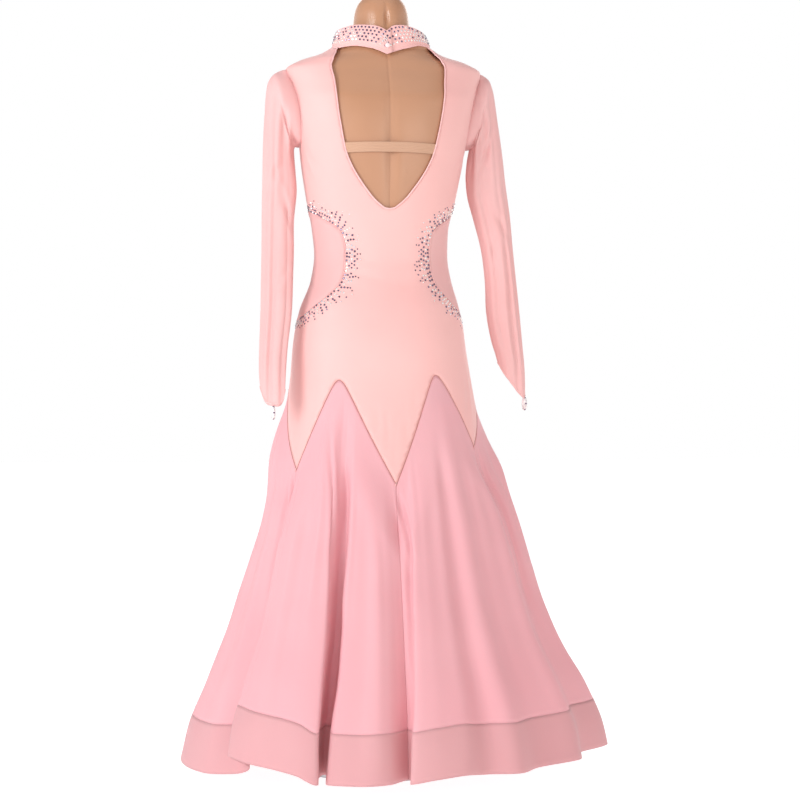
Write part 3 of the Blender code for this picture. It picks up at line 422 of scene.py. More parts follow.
def lengths_along(path):
    """The length of a path up to each of its points."""
    return np.concatenate([[0.0], np.cumsum(np.linalg.norm(np.diff(path, axis=0), axis=1))])


def ring_point(angle, height, left, right, back, front, fullness):
    """Points on a rounded section with its own size to each side."""
    turn = np.radians(angle)
    across, along = np.sin(turn), np.cos(turn)
    power = np.abs(across) ** fullness + np.abs(along) ** fullness
    scale = power ** (-1.0 / fullness)
    x = np.where(across > 0, left, right) * across * scale
    y = np.where(along > 0, back, front) * along * scale
    return np.stack([AXIS_X + x, AXIS_Y + y, height + 0.0 * x], axis=-1)


def body_point(angle, height):
    """The outer face of the fitted bodice."""
    angle, height = np.broadcast_arrays(np.asarray(angle, float), np.asarray(height, float))
    return ring_point(angle, height, *sizes_at(SECTIONS, SECTION_COLUMNS, height))


def body_normal(angle, height):
    """Outward direction of the bodice face."""
    across = body_point(angle + 0.5, height) - body_point(angle - 0.5, height)
    upward = body_point(angle, height + STEP) - body_point(angle, height - STEP)
    return unit(np.cross(upward, across))


def flare_point(angle, height):
    """The outer face of the skirt between its folds."""
    return ring_point(angle, height, *sizes_at(FLARES, FLARE_COLUMNS, height), 2.0)


def hip_seam_height(angle):
    """Height of the zigzag seam, round at each apex and sharp at each point."""
    angle = np.asarray(angle, float)
    angles = column(HIP_SEAM, HIP_SEAM_COLUMNS, "angle")
    heights = column(HIP_SEAM, HIP_SEAM_COLUMNS, "height")
    wrapped = (angle + 180.0) % 360.0 - 180.0
    seg = np.clip(np.searchsorted(angles, wrapped, side="right") - 1, 0, len(angles) - 2)
    t = (wrapped - angles[seg]) / (angles[seg + 1] - angles[seg])
    falling = heights[seg] > heights[seg + 1]
    apex = np.where(falling, heights[seg], heights[seg + 1])
    low = np.where(falling, heights[seg + 1], heights[seg])
    away = np.where(falling, t, 1.0 - t)
    fall = np.hypot(away, HIP_APEX_ROUND) - HIP_APEX_ROUND
    return apex - (apex - low) * fall / (np.hypot(1.0, HIP_APEX_ROUND) - HIP_APEX_ROUND)


def skirt_point(hip_angle, down):
    """The outer face of the skirt; down runs from 0 at the hip seam to 1 at the hem."""
    angles = column(FOLDS, FOLD_COLUMNS, "hip_angle")
    turn = ease_round(hip_angle, angles, column(FOLDS, FOLD_COLUMNS, "hem_angle") - angles)
    depth = ease_round(hip_angle, angles, column(FOLDS, FOLD_COLUMNS, "depth"))
    start = ease_round(hip_angle, angles, column(FOLDS, FOLD_COLUMNS, "start"))
    hem = ease_round(hip_angle, angles, column(FOLDS, FOLD_COLUMNS, "hem_height"))
    top = hip_seam_height(hip_angle)
    height = top + (hem - top) * down
    drop = top - height
    grown = np.clip((start - height) / (start - hem), 0.0, 1.0) ** FOLD_GROWTH
    grown = grown * soft_step(drop / FOLD_BLEND)
    angle = hip_angle + turn * grown
    flare = soft_step(drop / FLARE_BLEND)[..., None]
    points = body_point(hip_angle, height) * (1.0 - flare) + flare_point(angle, height) * flare
    return points + outward(angle) * (depth * grown)[..., None]


def point_normals(points, faces):
    """Outward direction at each point of an open cloth face."""
    corners = points[faces]
    face_normals = np.cross(corners[:, 1] - corners[:, 0], corners[:, 2] - corners[:, 0])
    normals = np.zeros_like(points)
    for corner in range(3):
        np.add.at(normals, faces[:, corner], face_normals)
    return unit(normals)


def grid_normals(grid, faces):
    """The same for a grid of points."""
    return point_normals(grid.reshape(-1, 3), faces).reshape(grid.shape)


def grid_faces(rows, columns, closed=False):
    """Triangles over a grid of points in rows, facing out when columns run to the left."""
    faces = []
    for r in range(rows - 1):
        for c in range(columns if closed else columns - 1):
            n = (c + 1) % columns
            a, b = r * columns + c, r * columns + n
            d, e = a + columns, b + columns
            if (r + c) % 2:
                faces += [(a, b, e), (a, e, d)]
            else:
                faces += [(a, b, d), (b, e, d)]
    return np.array(faces)


def draw_in(grid, distance):
    """Moves the two side columns of a grid inward, which leaves the seam gap."""
    grid = grid.copy()
    for edge, beside in ((0, 1), (-1, -2)):
        grid[:, edge] += unit(grid[:, beside] - grid[:, edge]) * distance
    return grid


def side_length():
    """Heights and the length of cloth along the side up to each."""
    heights = np.arange(0.480, 1.336, 0.001)
    rows = column(SECTIONS, SECTION_COLUMNS, "height")
    widths = ease(heights, rows, column(SECTIONS, SECTION_COLUMNS, "left"))
    steps = np.hypot(np.diff(heights), np.diff(widths))
    return heights, np.concatenate([[0.0], np.cumsum(steps)])


SIDE_HEIGHTS, SIDE_LENGTHS = side_length()


def lay_flat(outline):
    """Angles and heights on the body as flat points, in metres."""
    outline = np.asarray(outline, float)
    along = np.interp(outline[:, 1], SIDE_HEIGHTS, SIDE_LENGTHS)
    return np.stack([np.radians(outline[:, 0]) * FLAT_RADIUS, along], axis=1)


def wrap_round(flat):
    """Flat points as angle and height on the body."""
    angle = np.degrees(flat[:, 0] / FLAT_RADIUS)
    return angle, np.interp(flat[:, 1], SIDE_LENGTHS, SIDE_HEIGHTS)


def even_steps(path, spacing, count=0):
    """Points along an open path at even steps, its ends kept."""
    lengths = lengths_along(path)
    count = count or max(1, int(round(lengths[-1] / spacing)))
    at = np.linspace(0.0, lengths[-1], count + 1)
    return np.stack([np.interp(at, lengths, path[:, i]) for i in range(2)], axis=1)


def round_off(path):
    """A finer path with its corners between the ends eased."""
    path = np.asarray(path, float)
    at = lengths_along(path)
    fine = np.linspace(0.0, at[-1], 6 * len(path))
    return np.stack([ease(fine, at, path[:, i]) for i in range(2)], axis=1)


def shrink(loop, distance):
    """Moves a loop that runs to the left inward by a distance."""
    before = unit(loop - np.roll(loop, 1, axis=0))
    after = unit(np.roll(loop, -1, axis=0) - loop)
    left = unit(np.stack([-(before + after)[:, 1], (before + after)[:, 0]], axis=1))
    opening = np.clip(np.abs(np.sum(left * np.stack([-after[:, 1], after[:, 0]], 1), 1)), 0.4, 1.0)
    return loop + left * (distance / opening)[:, None]


def inside(points, loop):
    """Which points lie inside a loop."""
    x, y = points[:, 0][:, None], points[:, 1][:, None]
    x0, y0 = loop[:, 0], loop[:, 1]
    x1, y1 = np.roll(x0, -1), np.roll(y0, -1)
    spans = (y0 > y) != (y1 > y)
    cross = x0 + (y - y0) * (x1 - x0) / np.where(y1 == y0, 1.0, y1 - y0)
    return np.sum(spans & (x < cross), axis=1) % 2 == 1


def distance_to(points, loop):
    """How far points lie from a loop."""
    start, end = loop, np.roll(loop, -1, axis=0)
    along = end - start
    t = np.sum((points[:, None] - start) * along, axis=2) / np.sum(along * along, axis=1)
    nearest = start + np.clip(t, 0.0, 1.0)[..., None] * along
    return np.min(np.linalg.norm(points[:, None] - nearest, axis=2), axis=1)


def mirrored(path):
    """A path on the other side of the body, run the other way."""
    path = np.asarray(path, float)[::-1].copy()
    path[:, 0] *= -1.0
    return path


def collar_edge(angle, name):
    """Height of the collar's bottom or top edge."""
    angles = column(COLLAR, COLLAR_COLUMNS, "angle")
    return ease_round(angle, angles, column(COLLAR, COLLAR_COLUMNS, name))


def front_turn(path):
    """Right side angles as angles past 180."""
    path = np.asarray(path, float).copy()
    path[:, 0] = np.where(path[:, 0] < 0, path[:, 0] + 360.0, path[:, 0])
    return path


def armhole_side(back):
    """The armhole's back or front edge, from the shoulder down to the side seam."""
    table = np.array(ARMHOLE, float)
    front = np.concatenate([table[:1], table[ARMHOLE_FOOT:][::-1]])
    path = table[:ARMHOLE_FOOT + 1] if back else front
    angle, height = wrap_round(even_steps(lay_flat(round_off(path)), 0.0, SLEEVE_SIDES // 2))
    return np.stack([angle, height], axis=1)


def inset_side(back):
    """The inset's back or front edge, from its upper tip to its foot."""
    table = np.array(INSET, float)
    if back:
        return round_off(table[INSET_TIP:INSET_FOOT + 1])
    return round_off(np.concatenate([table[:1], table[INSET_FOOT:][::-1]]))


def collar_point(angle, up):
    """The collar's outer face; up runs from 0 at the neckline to 1 at the top edge."""
    bottom = body_point(angle, collar_edge(angle, "bottom"))
    top = ring_point(angle, collar_edge(angle, "top"), COLLAR_TOP_LEFT, COLLAR_TOP_RIGHT,
                     COLLAR_TOP_BACK, COLLAR_TOP_FRONT, 2.1)
    return bottom + (top - bottom) * up


def armhole_ring(side):
    """The armhole as a sleeve ring, from the shoulder down the back and up the front."""
    down = lay_flat(armhole_side(True))[:-1]
    up = lay_flat(armhole_side(False))[::-1][:-1]
    ring = shrink(np.concatenate([down, up]), SEAM_GAP)
    angle, height = wrap_round(ring)
    return body_point(side * angle, height) + body_normal(side * angle, height) * 2.0 * SEAM_GAP


def flat_panel(paths, spacing):
    """Points and triangles of a flat piece bounded by paths that meet end to end."""
    pieces = [even_steps(path, spacing)[:-1] for path in paths]
    loop = shrink(np.concatenate(pieces), SEAM_GAP / 2.0)
    low, high = loop.min(axis=0), loop.max(axis=0)
    rows = np.arange(low[1], high[1], spacing * 0.87)
    filling = []
    for i, y in enumerate(rows):
        xs = np.arange(low[0] + (i % 2) * spacing / 2.0, high[0], spacing)
        filling.append(np.stack([xs, np.full(len(xs), y)], axis=1))
    filling = np.concatenate(filling)
    filling = filling[np.concatenate([inside(some, loop) for some in np.array_split(filling, 12)])]
    clear = np.concatenate([distance_to(some, loop) for some in np.array_split(filling, 12)])
    filling = filling[clear > 0.55 * spacing]
    every = [Vector(p) for p in np.concatenate([loop, filling])]
    found = delaunay_2d_cdt(every, [], [list(range(len(loop)))], 1, 1.0e-7)
    points = np.array([tuple(p) for p in found[0]])
    return points, np.array([tuple(f) for f in found[2]])


# Fine walls and gaps of the cloth shells, and the steps of their faces
SHELL_WALL = 0.0009
HEM_SHELL = 0.0012
COLLAR_SHELL = 0.0013
STRAP_SHELL = 0.0012
FINE_GAP = 0.0001
PANEL_FINE = 0.0048
SKIRT_STEP = 0.55
SKIRT_FINE_ROWS = 84
HEM_FINE_ROWS = 14
SLEEVE_FINE_SIDES = 120
SLEEVE_FINE_ROWS = 110
COLLAR_FINE = 2.5
COLLAR_FINE_ROWS = 20
STRAP_FINE_ROWS = 49
STRAP_FINE_COLUMNS = 97

# Dips at the seams: depth, and width in metres, degrees and as a share of the piece's length
SEAM_DIP = 0.0007
SEAM_DIP_WIDTH = 0.0028
PANEL_DIP = 0.0002
PANEL_DIP_WIDTH = 0.45
SEAM_DIP_SHARE = 0.006

# How far from the edge of a bodice piece its creases are full
EDGE_FADE = 0.02

# Faint waves of the cloth: their lengths and depths
BODICE_WAVES = ((0.16, 0.07), (0.0004, 0.00016))
SKIRT_WAVES = ((0.20, 0.09), (0.0010, 0.0004))

# The hem band stands proud of the skirt, whose edge goes under it
HEM_LIFT = 0.0003
HEM_TUCK = 0.0010

# The sleeve's head swells a little beside the armhole
HEAD_RISE = 0.0012

# The collar's soft roll, the hollow above its seam and a slight wave
COLLAR_ROLL = 0.0012
COLLAR_HOLLOW = 0.0008
COLLAR_WAVE = 0.0006

# Ribs along the strap and the ripple across them
STRAP_RIB = 0.00028
STRAP_RIPPLE = 0.00006

# Rolled edge and seam lines on the bodice: radius, lift off the cloth and flatness
KEYHOLE_EDGE = (0.0015, 0.0001, 0.8)
HIP_LINE = (0.0006, -0.0004, 1.0)
SEAM_LINE = (0.0008, -0.0002, 1.0)
LINE_STEP = 0.003

# Edges of the cuffs and the collar: radius, flatness and lift
CUFF_EDGE = (0.0008, 0.6, 0.0003)
COLLAR_EDGE = (0.0011, 0.8, -0.0005)

# Thread tacks, with the angle and height of their ends from a point of the hip seam
TACK_THREAD = 0.0008
TACK_LIFT = 0.0006
TACK_ENDS = ((0.0, 0.004), (0.8, -0.003))

# How far the collar's bead stands off the cloth
BEAD_LIFT = 0.0006

# The collar's cord loops: way from the lap's edge, radius, half width and tilt, and each one's
# place up the collar and length
LOOP_PLACE = (0.003, 0.0014, 0.0)
LOOP_CORD = 0.0006
LOOP_HALF_WIDTH = 0.0018
LOOP_TILT = 0.9
COLLAR_LOOPS = ((0.52, 0.010), (0.70, 0.009))

# Stones: their sizes across, rows and pitch on the insets, the collar and the finger loops
STONE_SIDES = 8
STONE_PROFILE = ((1.0, -0.10), (1.0, 0.16), (0.56, 0.52))
STONE_PITCH = 0.0066
STONE_ROWS = 7
STONE_FIRST = 0.0042
STONE_BAND = (0.013, 0.036)
STONE_SIZES = (0.0036, 0.0044)
SMALL_STONE_SIZES = (0.0026, 0.0034)
COLLAR_STONE_SIZES = (0.0037, 0.0044)
COLLAR_STONE_ROWS = 5
COLLAR_STONE_LOW = 0.30
COLLAR_STONE_HIGH = 0.92
COLLAR_GIRTH = 0.50
LOOP_STONES = 15
LOOP_STONE_SIZE = 0.0038

# Faces round the finger loops, and round the collar's bead and cord loops
LOOP_FINE_SIDES = 72
CORD_SIDES = 28

# The form's cover: its room under the shoulders, spine, shoulder blades and nape
SKIN_CLEARANCE = 0.0050
SPINE_ANGLE = -0.5
SPINE_DEPTH = 0.0042
SPINE_LINE = 0.0009
BLADE_RISE = 0.0018
NAPE_DEPTH = 0.0060
NAPE_CORD = 0.0014
NAPE_ANGLE = -2.0
NAPE_HEIGHT = 1.378

# The camera's distance and turn from the centre back, and one of the photo's pixels at the dress
CAMERA_AWAY = 4.09
CAMERA_TURN = 10.0
PIXEL = 0.00185
PHOTO_WIDTH = 800.0
SENSOR = 36.0

# Small creases on the bodice: where each starts and ends, its half width, depth and bow
BODICE_CREASES = (
    (-4.5, 0.560, -7.5, 0.640, 0.0042, -0.0012, 0.002),
    (0.5, 0.548, 0.0, 0.622, 0.0038, -0.0009, -0.001),
    (5.5, 0.566, 4.0, 0.650, 0.0040, -0.0013, 0.002),
    (9.5, 0.592, 10.5, 0.668, 0.0045, -0.0010, 0.002),
    (-10.5, 0.606, -14.0, 0.690, 0.0050, -0.0009, 0.002),
    (-50.0, 0.640, -58.0, 0.720, 0.0065, -0.0011, 0.003),
    (-62.0, 0.640, -66.0, 0.735, 0.0060, -0.0009, 0.002),
    (55.0, 0.590, 52.0, 0.660, 0.0060, -0.0008, 0.003),
    (64.0, 0.590, 66.0, 0.660, 0.0060, -0.0005, 0.003),
    (-30.0, 0.900, -8.0, 0.885, 0.0080, -0.0008, 0.003),
    (28.0, 0.912, 6.0, 0.900, 0.0080, -0.0008, 0.003),
    (-26.0, 0.930, -6.0, 0.922, 0.0070, -0.0007, 0.002),
    (26.0, 0.936, 9.0, 0.930, 0.0070, -0.0006, 0.002),
    (70.0, 1.130, 52.0, 1.095, 0.0070, -0.0012, 0.004),
    (80.0, 1.135, 66.0, 1.080, 0.0070, -0.0010, 0.004),
    (-70.0, 1.132, -54.0, 1.100, 0.0070, -0.0012, 0.004),
    (-82.0, 1.132, -68.0, 1.085, 0.0070, -0.0010, 0.004),
    (110.0, 1.150, 128.0, 1.110, 0.0075, -0.0014, 0.004),
    (104.0, 1.130, 118.0, 1.075, 0.0070, -0.0011, 0.004),
    (-108.0, 1.150, -126.0, 1.112, 0.0075, -0.0013, 0.004),
    (-103.0, 1.132, -116.0, 1.078, 0.0070, -0.0011, 0.004),
    (134.0, 0.596, 130.0, 0.680, 0.0060, -0.0011, 0.003),
    (143.0, 0.590, 148.0, 0.672, 0.0060, -0.0012, 0.003),
    (-132.0, 0.604, -127.0, 0.684, 0.0060, -0.0011, 0.003),
    (-140.0, 0.600, -146.0, 0.676, 0.0060, -0.0010, 0.003),
    (150.0, 0.905, 172.0, 0.895, 0.0080, -0.0009, 0.003),
    (-150.0, 0.915, -170.0, 0.902, 0.0080, -0.0008, 0.003),
    (152.0, 0.934, 166.0, 0.930, 0.0070, -0.0006, 0.002),
)

# Soft creases on the skirt: hip angle at the top and hem, where it starts and ends,
# half width in degrees at the top and hem, depth
SKIRT_CREASES = (
    (38.5, 40.0, 0.04, 0.60, 1.6, 1.8, 0.0028),
    (35.2, 30.0, 0.10, 0.46, 1.2, 1.0, -0.0050),
    (26.5, 28.5, 0.14, 0.42, 1.1, 1.0, -0.0045),
    (22.5, 23.0, 0.14, 0.60, 1.6, 1.6, 0.0032),
    (46.0, 45.0, 0.22, 0.92, 2.8, 3.2, -0.0034),
    (52.0, 51.0, 0.16, 0.70, 2.2, 2.8, 0.0022),
    (58.8, 58.6, 0.00, 0.90, 1.0, 0.9, 0.0040),
    (62.6, 62.8, 0.00, 1.04, 1.4, 1.5, -0.0125),
    (68.5, 73.0, 0.02, 0.42, 1.8, 2.4, 0.0030),
    (16.0, 16.0, 0.20, 0.98, 2.6, 3.0, -0.0028),
    (10.5, 10.5, 0.24, 1.00, 1.8, 2.2, 0.0022),
    (0.2, -19.0, 0.00, 0.30, 0.9, 1.1, -0.0064),
    (-4.2, -4.4, 0.20, 0.72, 1.3, 1.3, -0.0050),
    (-7.6, -8.0, 0.00, 1.00, 1.1, 1.2, 0.0016),
    (-14.0, -13.0, 0.16, 1.00, 2.0, 2.6, -0.0020),
    (-22.5, -22.0, 0.10, 0.90, 2.2, 2.8, -0.0026),
    (-28.0, -27.0, 0.14, 1.00, 2.4, 3.0, 0.0018),
    (-35.5, -34.0, 0.12, 0.86, 2.6, 3.2, -0.0022),
    (-45.0, -44.0, 0.16, 0.98, 2.8, 3.4, -0.0032),
    (-56.2, -57.0, 0.00, 0.60, 1.2, 1.4, 0.0034),
    (-60.2, -62.0, 0.01, 0.56, 1.5, 1.8, -0.0068),
    (-66.0, -69.0, 0.06, 0.80, 2.2, 2.8, 0.0030),
    (-72.5, -78.0, 0.05, 0.72, 2.2, 2.6, -0.0042),
    (-81.0, -84.0, 0.08, 0.85, 2.4, 3.0, 0.0030),
    (-89.0, -91.0, 0.06, 0.92, 2.6, 3.2, -0.0045),
    (-105.0, -110.0, 0.05, 0.80, 2.2, 2.6, 0.0030),
    (-115.5, -116.0, 0.10, 0.95, 2.4, 3.0, -0.0045),
    (-127.5, -130.0, 0.12, 0.90, 2.6, 3.2, -0.0050),
    (-137.0, -141.5, 0.10, 0.80, 1.8, 2.2, 0.0030),
    (-153.0, -151.5, 0.08, 0.95, 2.2, 2.6, -0.0040),
    (-162.5, -162.0, 0.12, 0.88, 2.6, 3.0, -0.0050),
    (-175.0, -176.0, 0.05, 0.92, 2.6, 3.0, -0.0045),
    (174.0, 174.0, 0.10, 0.80, 2.4, 3.0, 0.0030),
    (169.0, 170.5, 0.06, 0.95, 2.2, 2.6, -0.0045),
    (160.0, 158.5, 0.12, 0.90, 2.4, 3.0, -0.0045),
    (151.5, 149.5, 0.14, 0.80, 1.8, 2.0, 0.0030),
    (131.5, 131.5, 0.10, 0.95, 2.6, 3.2, -0.0050),
    (120.5, 117.5, 0.08, 0.85, 2.4, 3.0, -0.0045),
    (101.0, 105.5, 0.05, 0.80, 2.0, 2.4, 0.0030),
    (92.5, 95.0, 0.05, 0.95, 2.4, 3.0, -0.0045),
    (82.0, 80.5, 0.08, 0.90, 2.4, 3.0, -0.0045),
    (73.0, 67.5, 0.06, 0.75, 2.0, 2.4, 0.0030),
)

# Long creases on the sleeves: side of the tube in degrees (0 outward, 90 to the back) at
# the top and the cuff, where it starts and ends, half width in degrees, depth
SLEEVE_CREASES_LEFT = (
    (62.0, 74.0, 0.10, 0.98, 13.0, -0.0034),
    (96.0, 104.0, 0.04, 0.52, 12.0, -0.0038),
    (118.0, 128.0, 0.22, 0.98, 12.0, -0.0036),
    (148.0, 150.0, 0.02, 0.36, 13.0, -0.0042),
    (34.0, 38.0, 0.30, 0.92, 12.0, -0.0026),
    (80.0, 88.0, 0.55, 1.00, 11.0, 0.0024),
    (206.0, 214.0, 0.05, 0.60, 14.0, -0.0036),
    (238.0, 244.0, 0.18, 0.96, 14.0, -0.0038),
    (272.0, 268.0, 0.06, 0.70, 14.0, -0.0036),
    (306.0, 300.0, 0.30, 1.00, 13.0, -0.0030),
)
SLEEVE_CREASES_RIGHT = (
    (58.0, 66.0, 0.08, 0.95, 13.0, -0.0032),
    (88.0, 100.0, 0.02, 0.46, 12.0, -0.0040),
    (120.0, 112.0, 0.16, 0.90, 12.0, -0.0038),
    (150.0, 142.0, 0.02, 0.42, 13.0, -0.0044),
    (36.0, 30.0, 0.36, 0.98, 12.0, -0.0026),
    (76.0, 84.0, 0.52, 1.00, 11.0, 0.0024),
    (208.0, 216.0, 0.06, 0.56, 14.0, -0.0036),
    (240.0, 236.0, 0.20, 0.98, 14.0, -0.0036),
    (276.0, 270.0, 0.05, 0.66, 14.0, -0.0038),
    (308.0, 304.0, 0.34, 1.00, 13.0, -0.0028),
)
# Short slanting creases: side, place along, half widths round and along, slant, depth
SLEEVE_DENTS_LEFT = (
    (112.0, 0.20, 26.0, 0.020, 0.0016, -0.0036),
    (70.0, 0.44, 24.0, 0.018, -0.0012, -0.0030),
    (120.0, 0.52, 24.0, 0.018, 0.0012, -0.0032),
    (96.0, 0.70, 22.0, 0.016, -0.0010, -0.0024),
    (250.0, 0.46, 28.0, 0.020, 0.0012, -0.0030),
    (290.0, 0.24, 26.0, 0.020, -0.0012, -0.0030),
    (230.0, 0.66, 26.0, 0.018, 0.0010, -0.0026),
)
SLEEVE_DENTS_RIGHT = (
    (120.0, 0.18, 26.0, 0.022, 0.0018, -0.0040),
    (84.0, 0.34, 26.0, 0.018, 0.0014, -0.0034),
    (64.0, 0.56, 24.0, 0.018, -0.0012, -0.0028),
    (110.0, 0.62, 24.0, 0.016, 0.0010, -0.0028),
    (252.0, 0.40, 28.0, 0.020, -0.0012, -0.0030),
    (286.0, 0.22, 26.0, 0.020, 0.0012, -0.0030),
    (236.0, 0.68, 26.0, 0.018, 0.0010, -0.0026),
)


def link(obj):
    """Puts an object in the scene."""
    bpy.context.scene.collection.objects.link(obj)
    return obj


def mesh_piece(name, points, faces, materials, flat_from=None, picks=None):
    """A mesh object; faces from flat_from on are shaded flat, picks chooses the materials."""
    mesh = bpy.data.meshes.new(name)
    mesh.from_pydata(np.asarray(points, float).tolist(), [], [tuple(f) for f in faces])
    count = len(mesh.polygons)
    smooth = np.ones(count, bool)
    if flat_from is not None:
        smooth[flat_from:] = False
    mesh.polygons.foreach_set("use_smooth", smooth)
    for material in materials if isinstance(materials, (list, tuple)) else [materials]:
        mesh.materials.append(material)
    if picks is not None:
        mesh.polygons.foreach_set("material_index", np.asarray(picks, np.int32))
    mesh.update()
    return link(bpy.data.objects.new(name, mesh))


def dress_up(obj, nodes=()):
    """The piece rides on the one body and takes the place of its solids."""
    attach(obj, "root")
    if nodes:
        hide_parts(*nodes)
    return obj


def shell(name, points, faces, normals, material, wall=SHELL_WALL):
    """A thin cloth shell: outer face, inner face and the cut edges between them."""
    points = np.asarray(points, float)
    faces = np.asarray(faces, int)
    count = len(points)
    inner = points - normals * wall
    starts = faces.reshape(-1)
    ends = np.roll(faces, -1, axis=1).reshape(-1)
    keys = set((starts * count + ends).tolist())
    loose = np.array([(e * count + s) not in keys for s, e in zip(starts.tolist(), ends.tolist())])
    a, b = starts[loose], ends[loose]
    rim = np.stack([b, a, a + count, b + count], axis=1)
    every = faces.tolist() + (faces[:, ::-1] + count).tolist() + rim.tolist()
    return mesh_piece(name, np.concatenate([points, inner]), every, material, 2 * len(faces))


def smooth_path(path, spacing):
    """A finer path in space at even steps, its ends kept."""
    path = np.asarray(path, float)
    at = lengths_along(path)
    fine = np.linspace(0.0, at[-1], max(3, int(at[-1] / spacing) + 1))
    return np.stack([np.interp(fine, at, path[:, i]) for i in range(path.shape[1])], axis=1)


def ring_faces(rows, sides, closed=False):
    """Faces between rings of points, with both ends filled where the rings don't meet."""
    faces = []
    for r in range(rows if closed else rows - 1):
        n = (r + 1) % rows
        for k in range(sides):
            m = (k + 1) % sides
            faces.append((r * sides + k, n * sides + k, n * sides + m, r * sides + m))
    if not closed:
        faces.append(tuple(range(sides)))
        faces.append(tuple(range((rows - 1) * sides, rows * sides))[::-1])
    return faces


def tube(path, normals, radius, squash=1.0, lay=0.0, closed=False, sides=8):
    """A cord or rolled edge along a path; squash flattens it against the cloth."""
    path, normals = np.asarray(path, float), np.asarray(normals, float)
    if closed:
        along = np.roll(path, -1, axis=0) - np.roll(path, 1, axis=0)
    else:
        along = np.gradient(path, axis=0)
    along = unit(along)
    across = unit(np.cross(along, normals))
    up = np.cross(across, along)
    turn = full_turn(sides)[None, :, None]
    cos, sin = np.cos(turn), np.sin(turn)
    rings = (path + up * lay)[:, None] + radius * (cos * across[:, None] + squash * sin * up[:, None])
    return rings.reshape(-1, 3), ring_faces(len(path), sides, closed)


def tubes(name, parts, material):
    """Several tubes joined in one mesh."""
    points, faces, base = [], [], 0
    for more, some in parts:
        points.append(more)
        faces += [tuple(i + base for i in f) for f in some]
        base += len(more)
    return mesh_piece(name, np.concatenate(points), faces, material)


def refine(grid, rows, columns):
    """A grid of points with smooth curves through it, closed in its columns."""
    def blend(values, at, closed):
        count = len(values)
        low = np.floor(at).astype(int)
        t = (at - low)[:, None, None]
        pick = [(low + k) % count if closed else np.clip(low + k, 0, count - 1) for k in (-1, 0, 1, 2)]
        p0, p1, p2, p3 = (values[k] for k in pick)
        return 0.5 * (2.0 * p1 + (p2 - p0) * t + (2.0 * p0 - 5.0 * p1 + 4.0 * p2 - p3) * t ** 2
                      + (3.0 * p1 - p0 - 3.0 * p2 + p3) * t ** 3)
    count_rows, count_columns = grid.shape[:2]
    tall = blend(grid, np.linspace(0.0, count_rows - 1.0, rows), False)
    round_at = np.arange(columns) * count_columns / columns
    return blend(tall.swapaxes(0, 1), round_at, True).swapaxes(0, 1)


def ridge(away, width):
    """A soft trough with raised shoulders, 1 at its middle."""
    t = away / width
    return bump(t, 0.0, 1.0) - 0.22 * bump(np.abs(t), 1.9, 0.75)


def bodice_relief(angle, height):
    """How far creases lift or sink the bodice's face, in metres."""
    flat = lay_flat(np.stack([turn_between(angle, 0.0), height], axis=1))
    total = np.zeros(len(flat))
    for a0, h0, a1, h1, width, depth, bow in BODICE_CREASES:
        for shift in (0.0, 360.0, -360.0):
            start, end = lay_flat(np.array([(a0 + shift, h0), (a1 + shift, h1)]))
            along = end - start
            length = np.hypot(*along)
            along = along / length
            off = flat - start
            t = (off @ along) / length
            side = off @ np.array([-along[1], along[0]]) - bow * np.sin(np.pi * np.clip(t, 0.0, 1.0))
            near = (np.abs(side) < 4.0 * width) & (t > -0.4) & (t < 1.4)
            if near.any():
                fade = soft_step((t[near] + 0.25) / 0.5) * soft_step((1.25 - t[near]) / 0.5)
                total[near] += depth * ridge(side[near], width) * fade
    return total


def soft_waves(x, y, seed, sizes, amounts):
    """Faint unevenness of cloth from a few crossing waves."""
    rng = np.random.default_rng(seed)
    total = np.zeros_like(x)
    for size, amount in zip(sizes, amounts):
        for _ in range(4):
            way = rng.uniform(0.0, 2.0 * np.pi)
            start = rng.uniform(0.0, 2.0 * np.pi)
            along = x * np.cos(way) + y * np.sin(way)
            total += amount / 2.0 * np.sin(along * 2.0 * np.pi / size + start)
    return total


def fine_panel(name, paths, material, seed):
    """A bodice piece wrapped on the body, with its creases and eased edges."""
    paths = [lay_flat(path) for path in paths]
    flat, faces = flat_panel(paths, PANEL_FINE)
    loop = np.concatenate([even_steps(path, PANEL_FINE)[:-1] for path in paths])
    angle, height = wrap_round(flat)
    normals = body_normal(angle, height)
    edge = np.concatenate([distance_to(part, loop) for part in np.array_split(flat, 12)])
    fade = soft_step(edge / EDGE_FADE)
    relief = bodice_relief(angle, height) * fade
    relief += soft_waves(flat[:, 0], flat[:, 1], seed, *BODICE_WAVES) * fade
    relief -= SEAM_DIP * bump(edge, 0.0, SEAM_DIP_WIDTH)
    points = body_point(angle, height) + normals * relief[:, None]
    corners = points[faces]
    out = np.cross(corners[:, 1] - corners[:, 0], corners[:, 2] - corners[:, 0])
    wrong = np.sum(out * normals[faces[:, 0]], axis=1) < 0
    faces[wrong] = faces[wrong][:, ::-1]
    return shell(name, points, faces, normals, material)


def side_paths(turned_front):
    """The straight stretches of the side seam, below the armhole and below the inset."""
    upper = np.array([(SIDE_SEAM, ARMHOLE[ARMHOLE_FOOT][1]), (SIDE_SEAM, INSET[INSET_TIP][1])])
    lower = np.array([(SIDE_SEAM, INSET[INSET_FOOT][1]), (SIDE_SEAM, hip_seam_height(SIDE_SEAM))])
    right = np.array([(-SIDE_SEAM, hip_seam_height(-SIDE_SEAM)), (-SIDE_SEAM, INSET[INSET_FOOT][1])])
    return upper, lower, front_turn(right) if turned_front else right


def fine_hip(start, end):
    """A stretch of the zigzag seam at the hips."""
    angles = np.arange(start, end + 0.01, 1.0)
    return np.stack([angles, hip_seam_height(angles)], axis=1)


def fine_neck(start, end):
    """A stretch of the neckline."""
    angles = np.linspace(start, end, 60)
    return np.stack([angles, collar_edge(angles, "bottom")], axis=1)


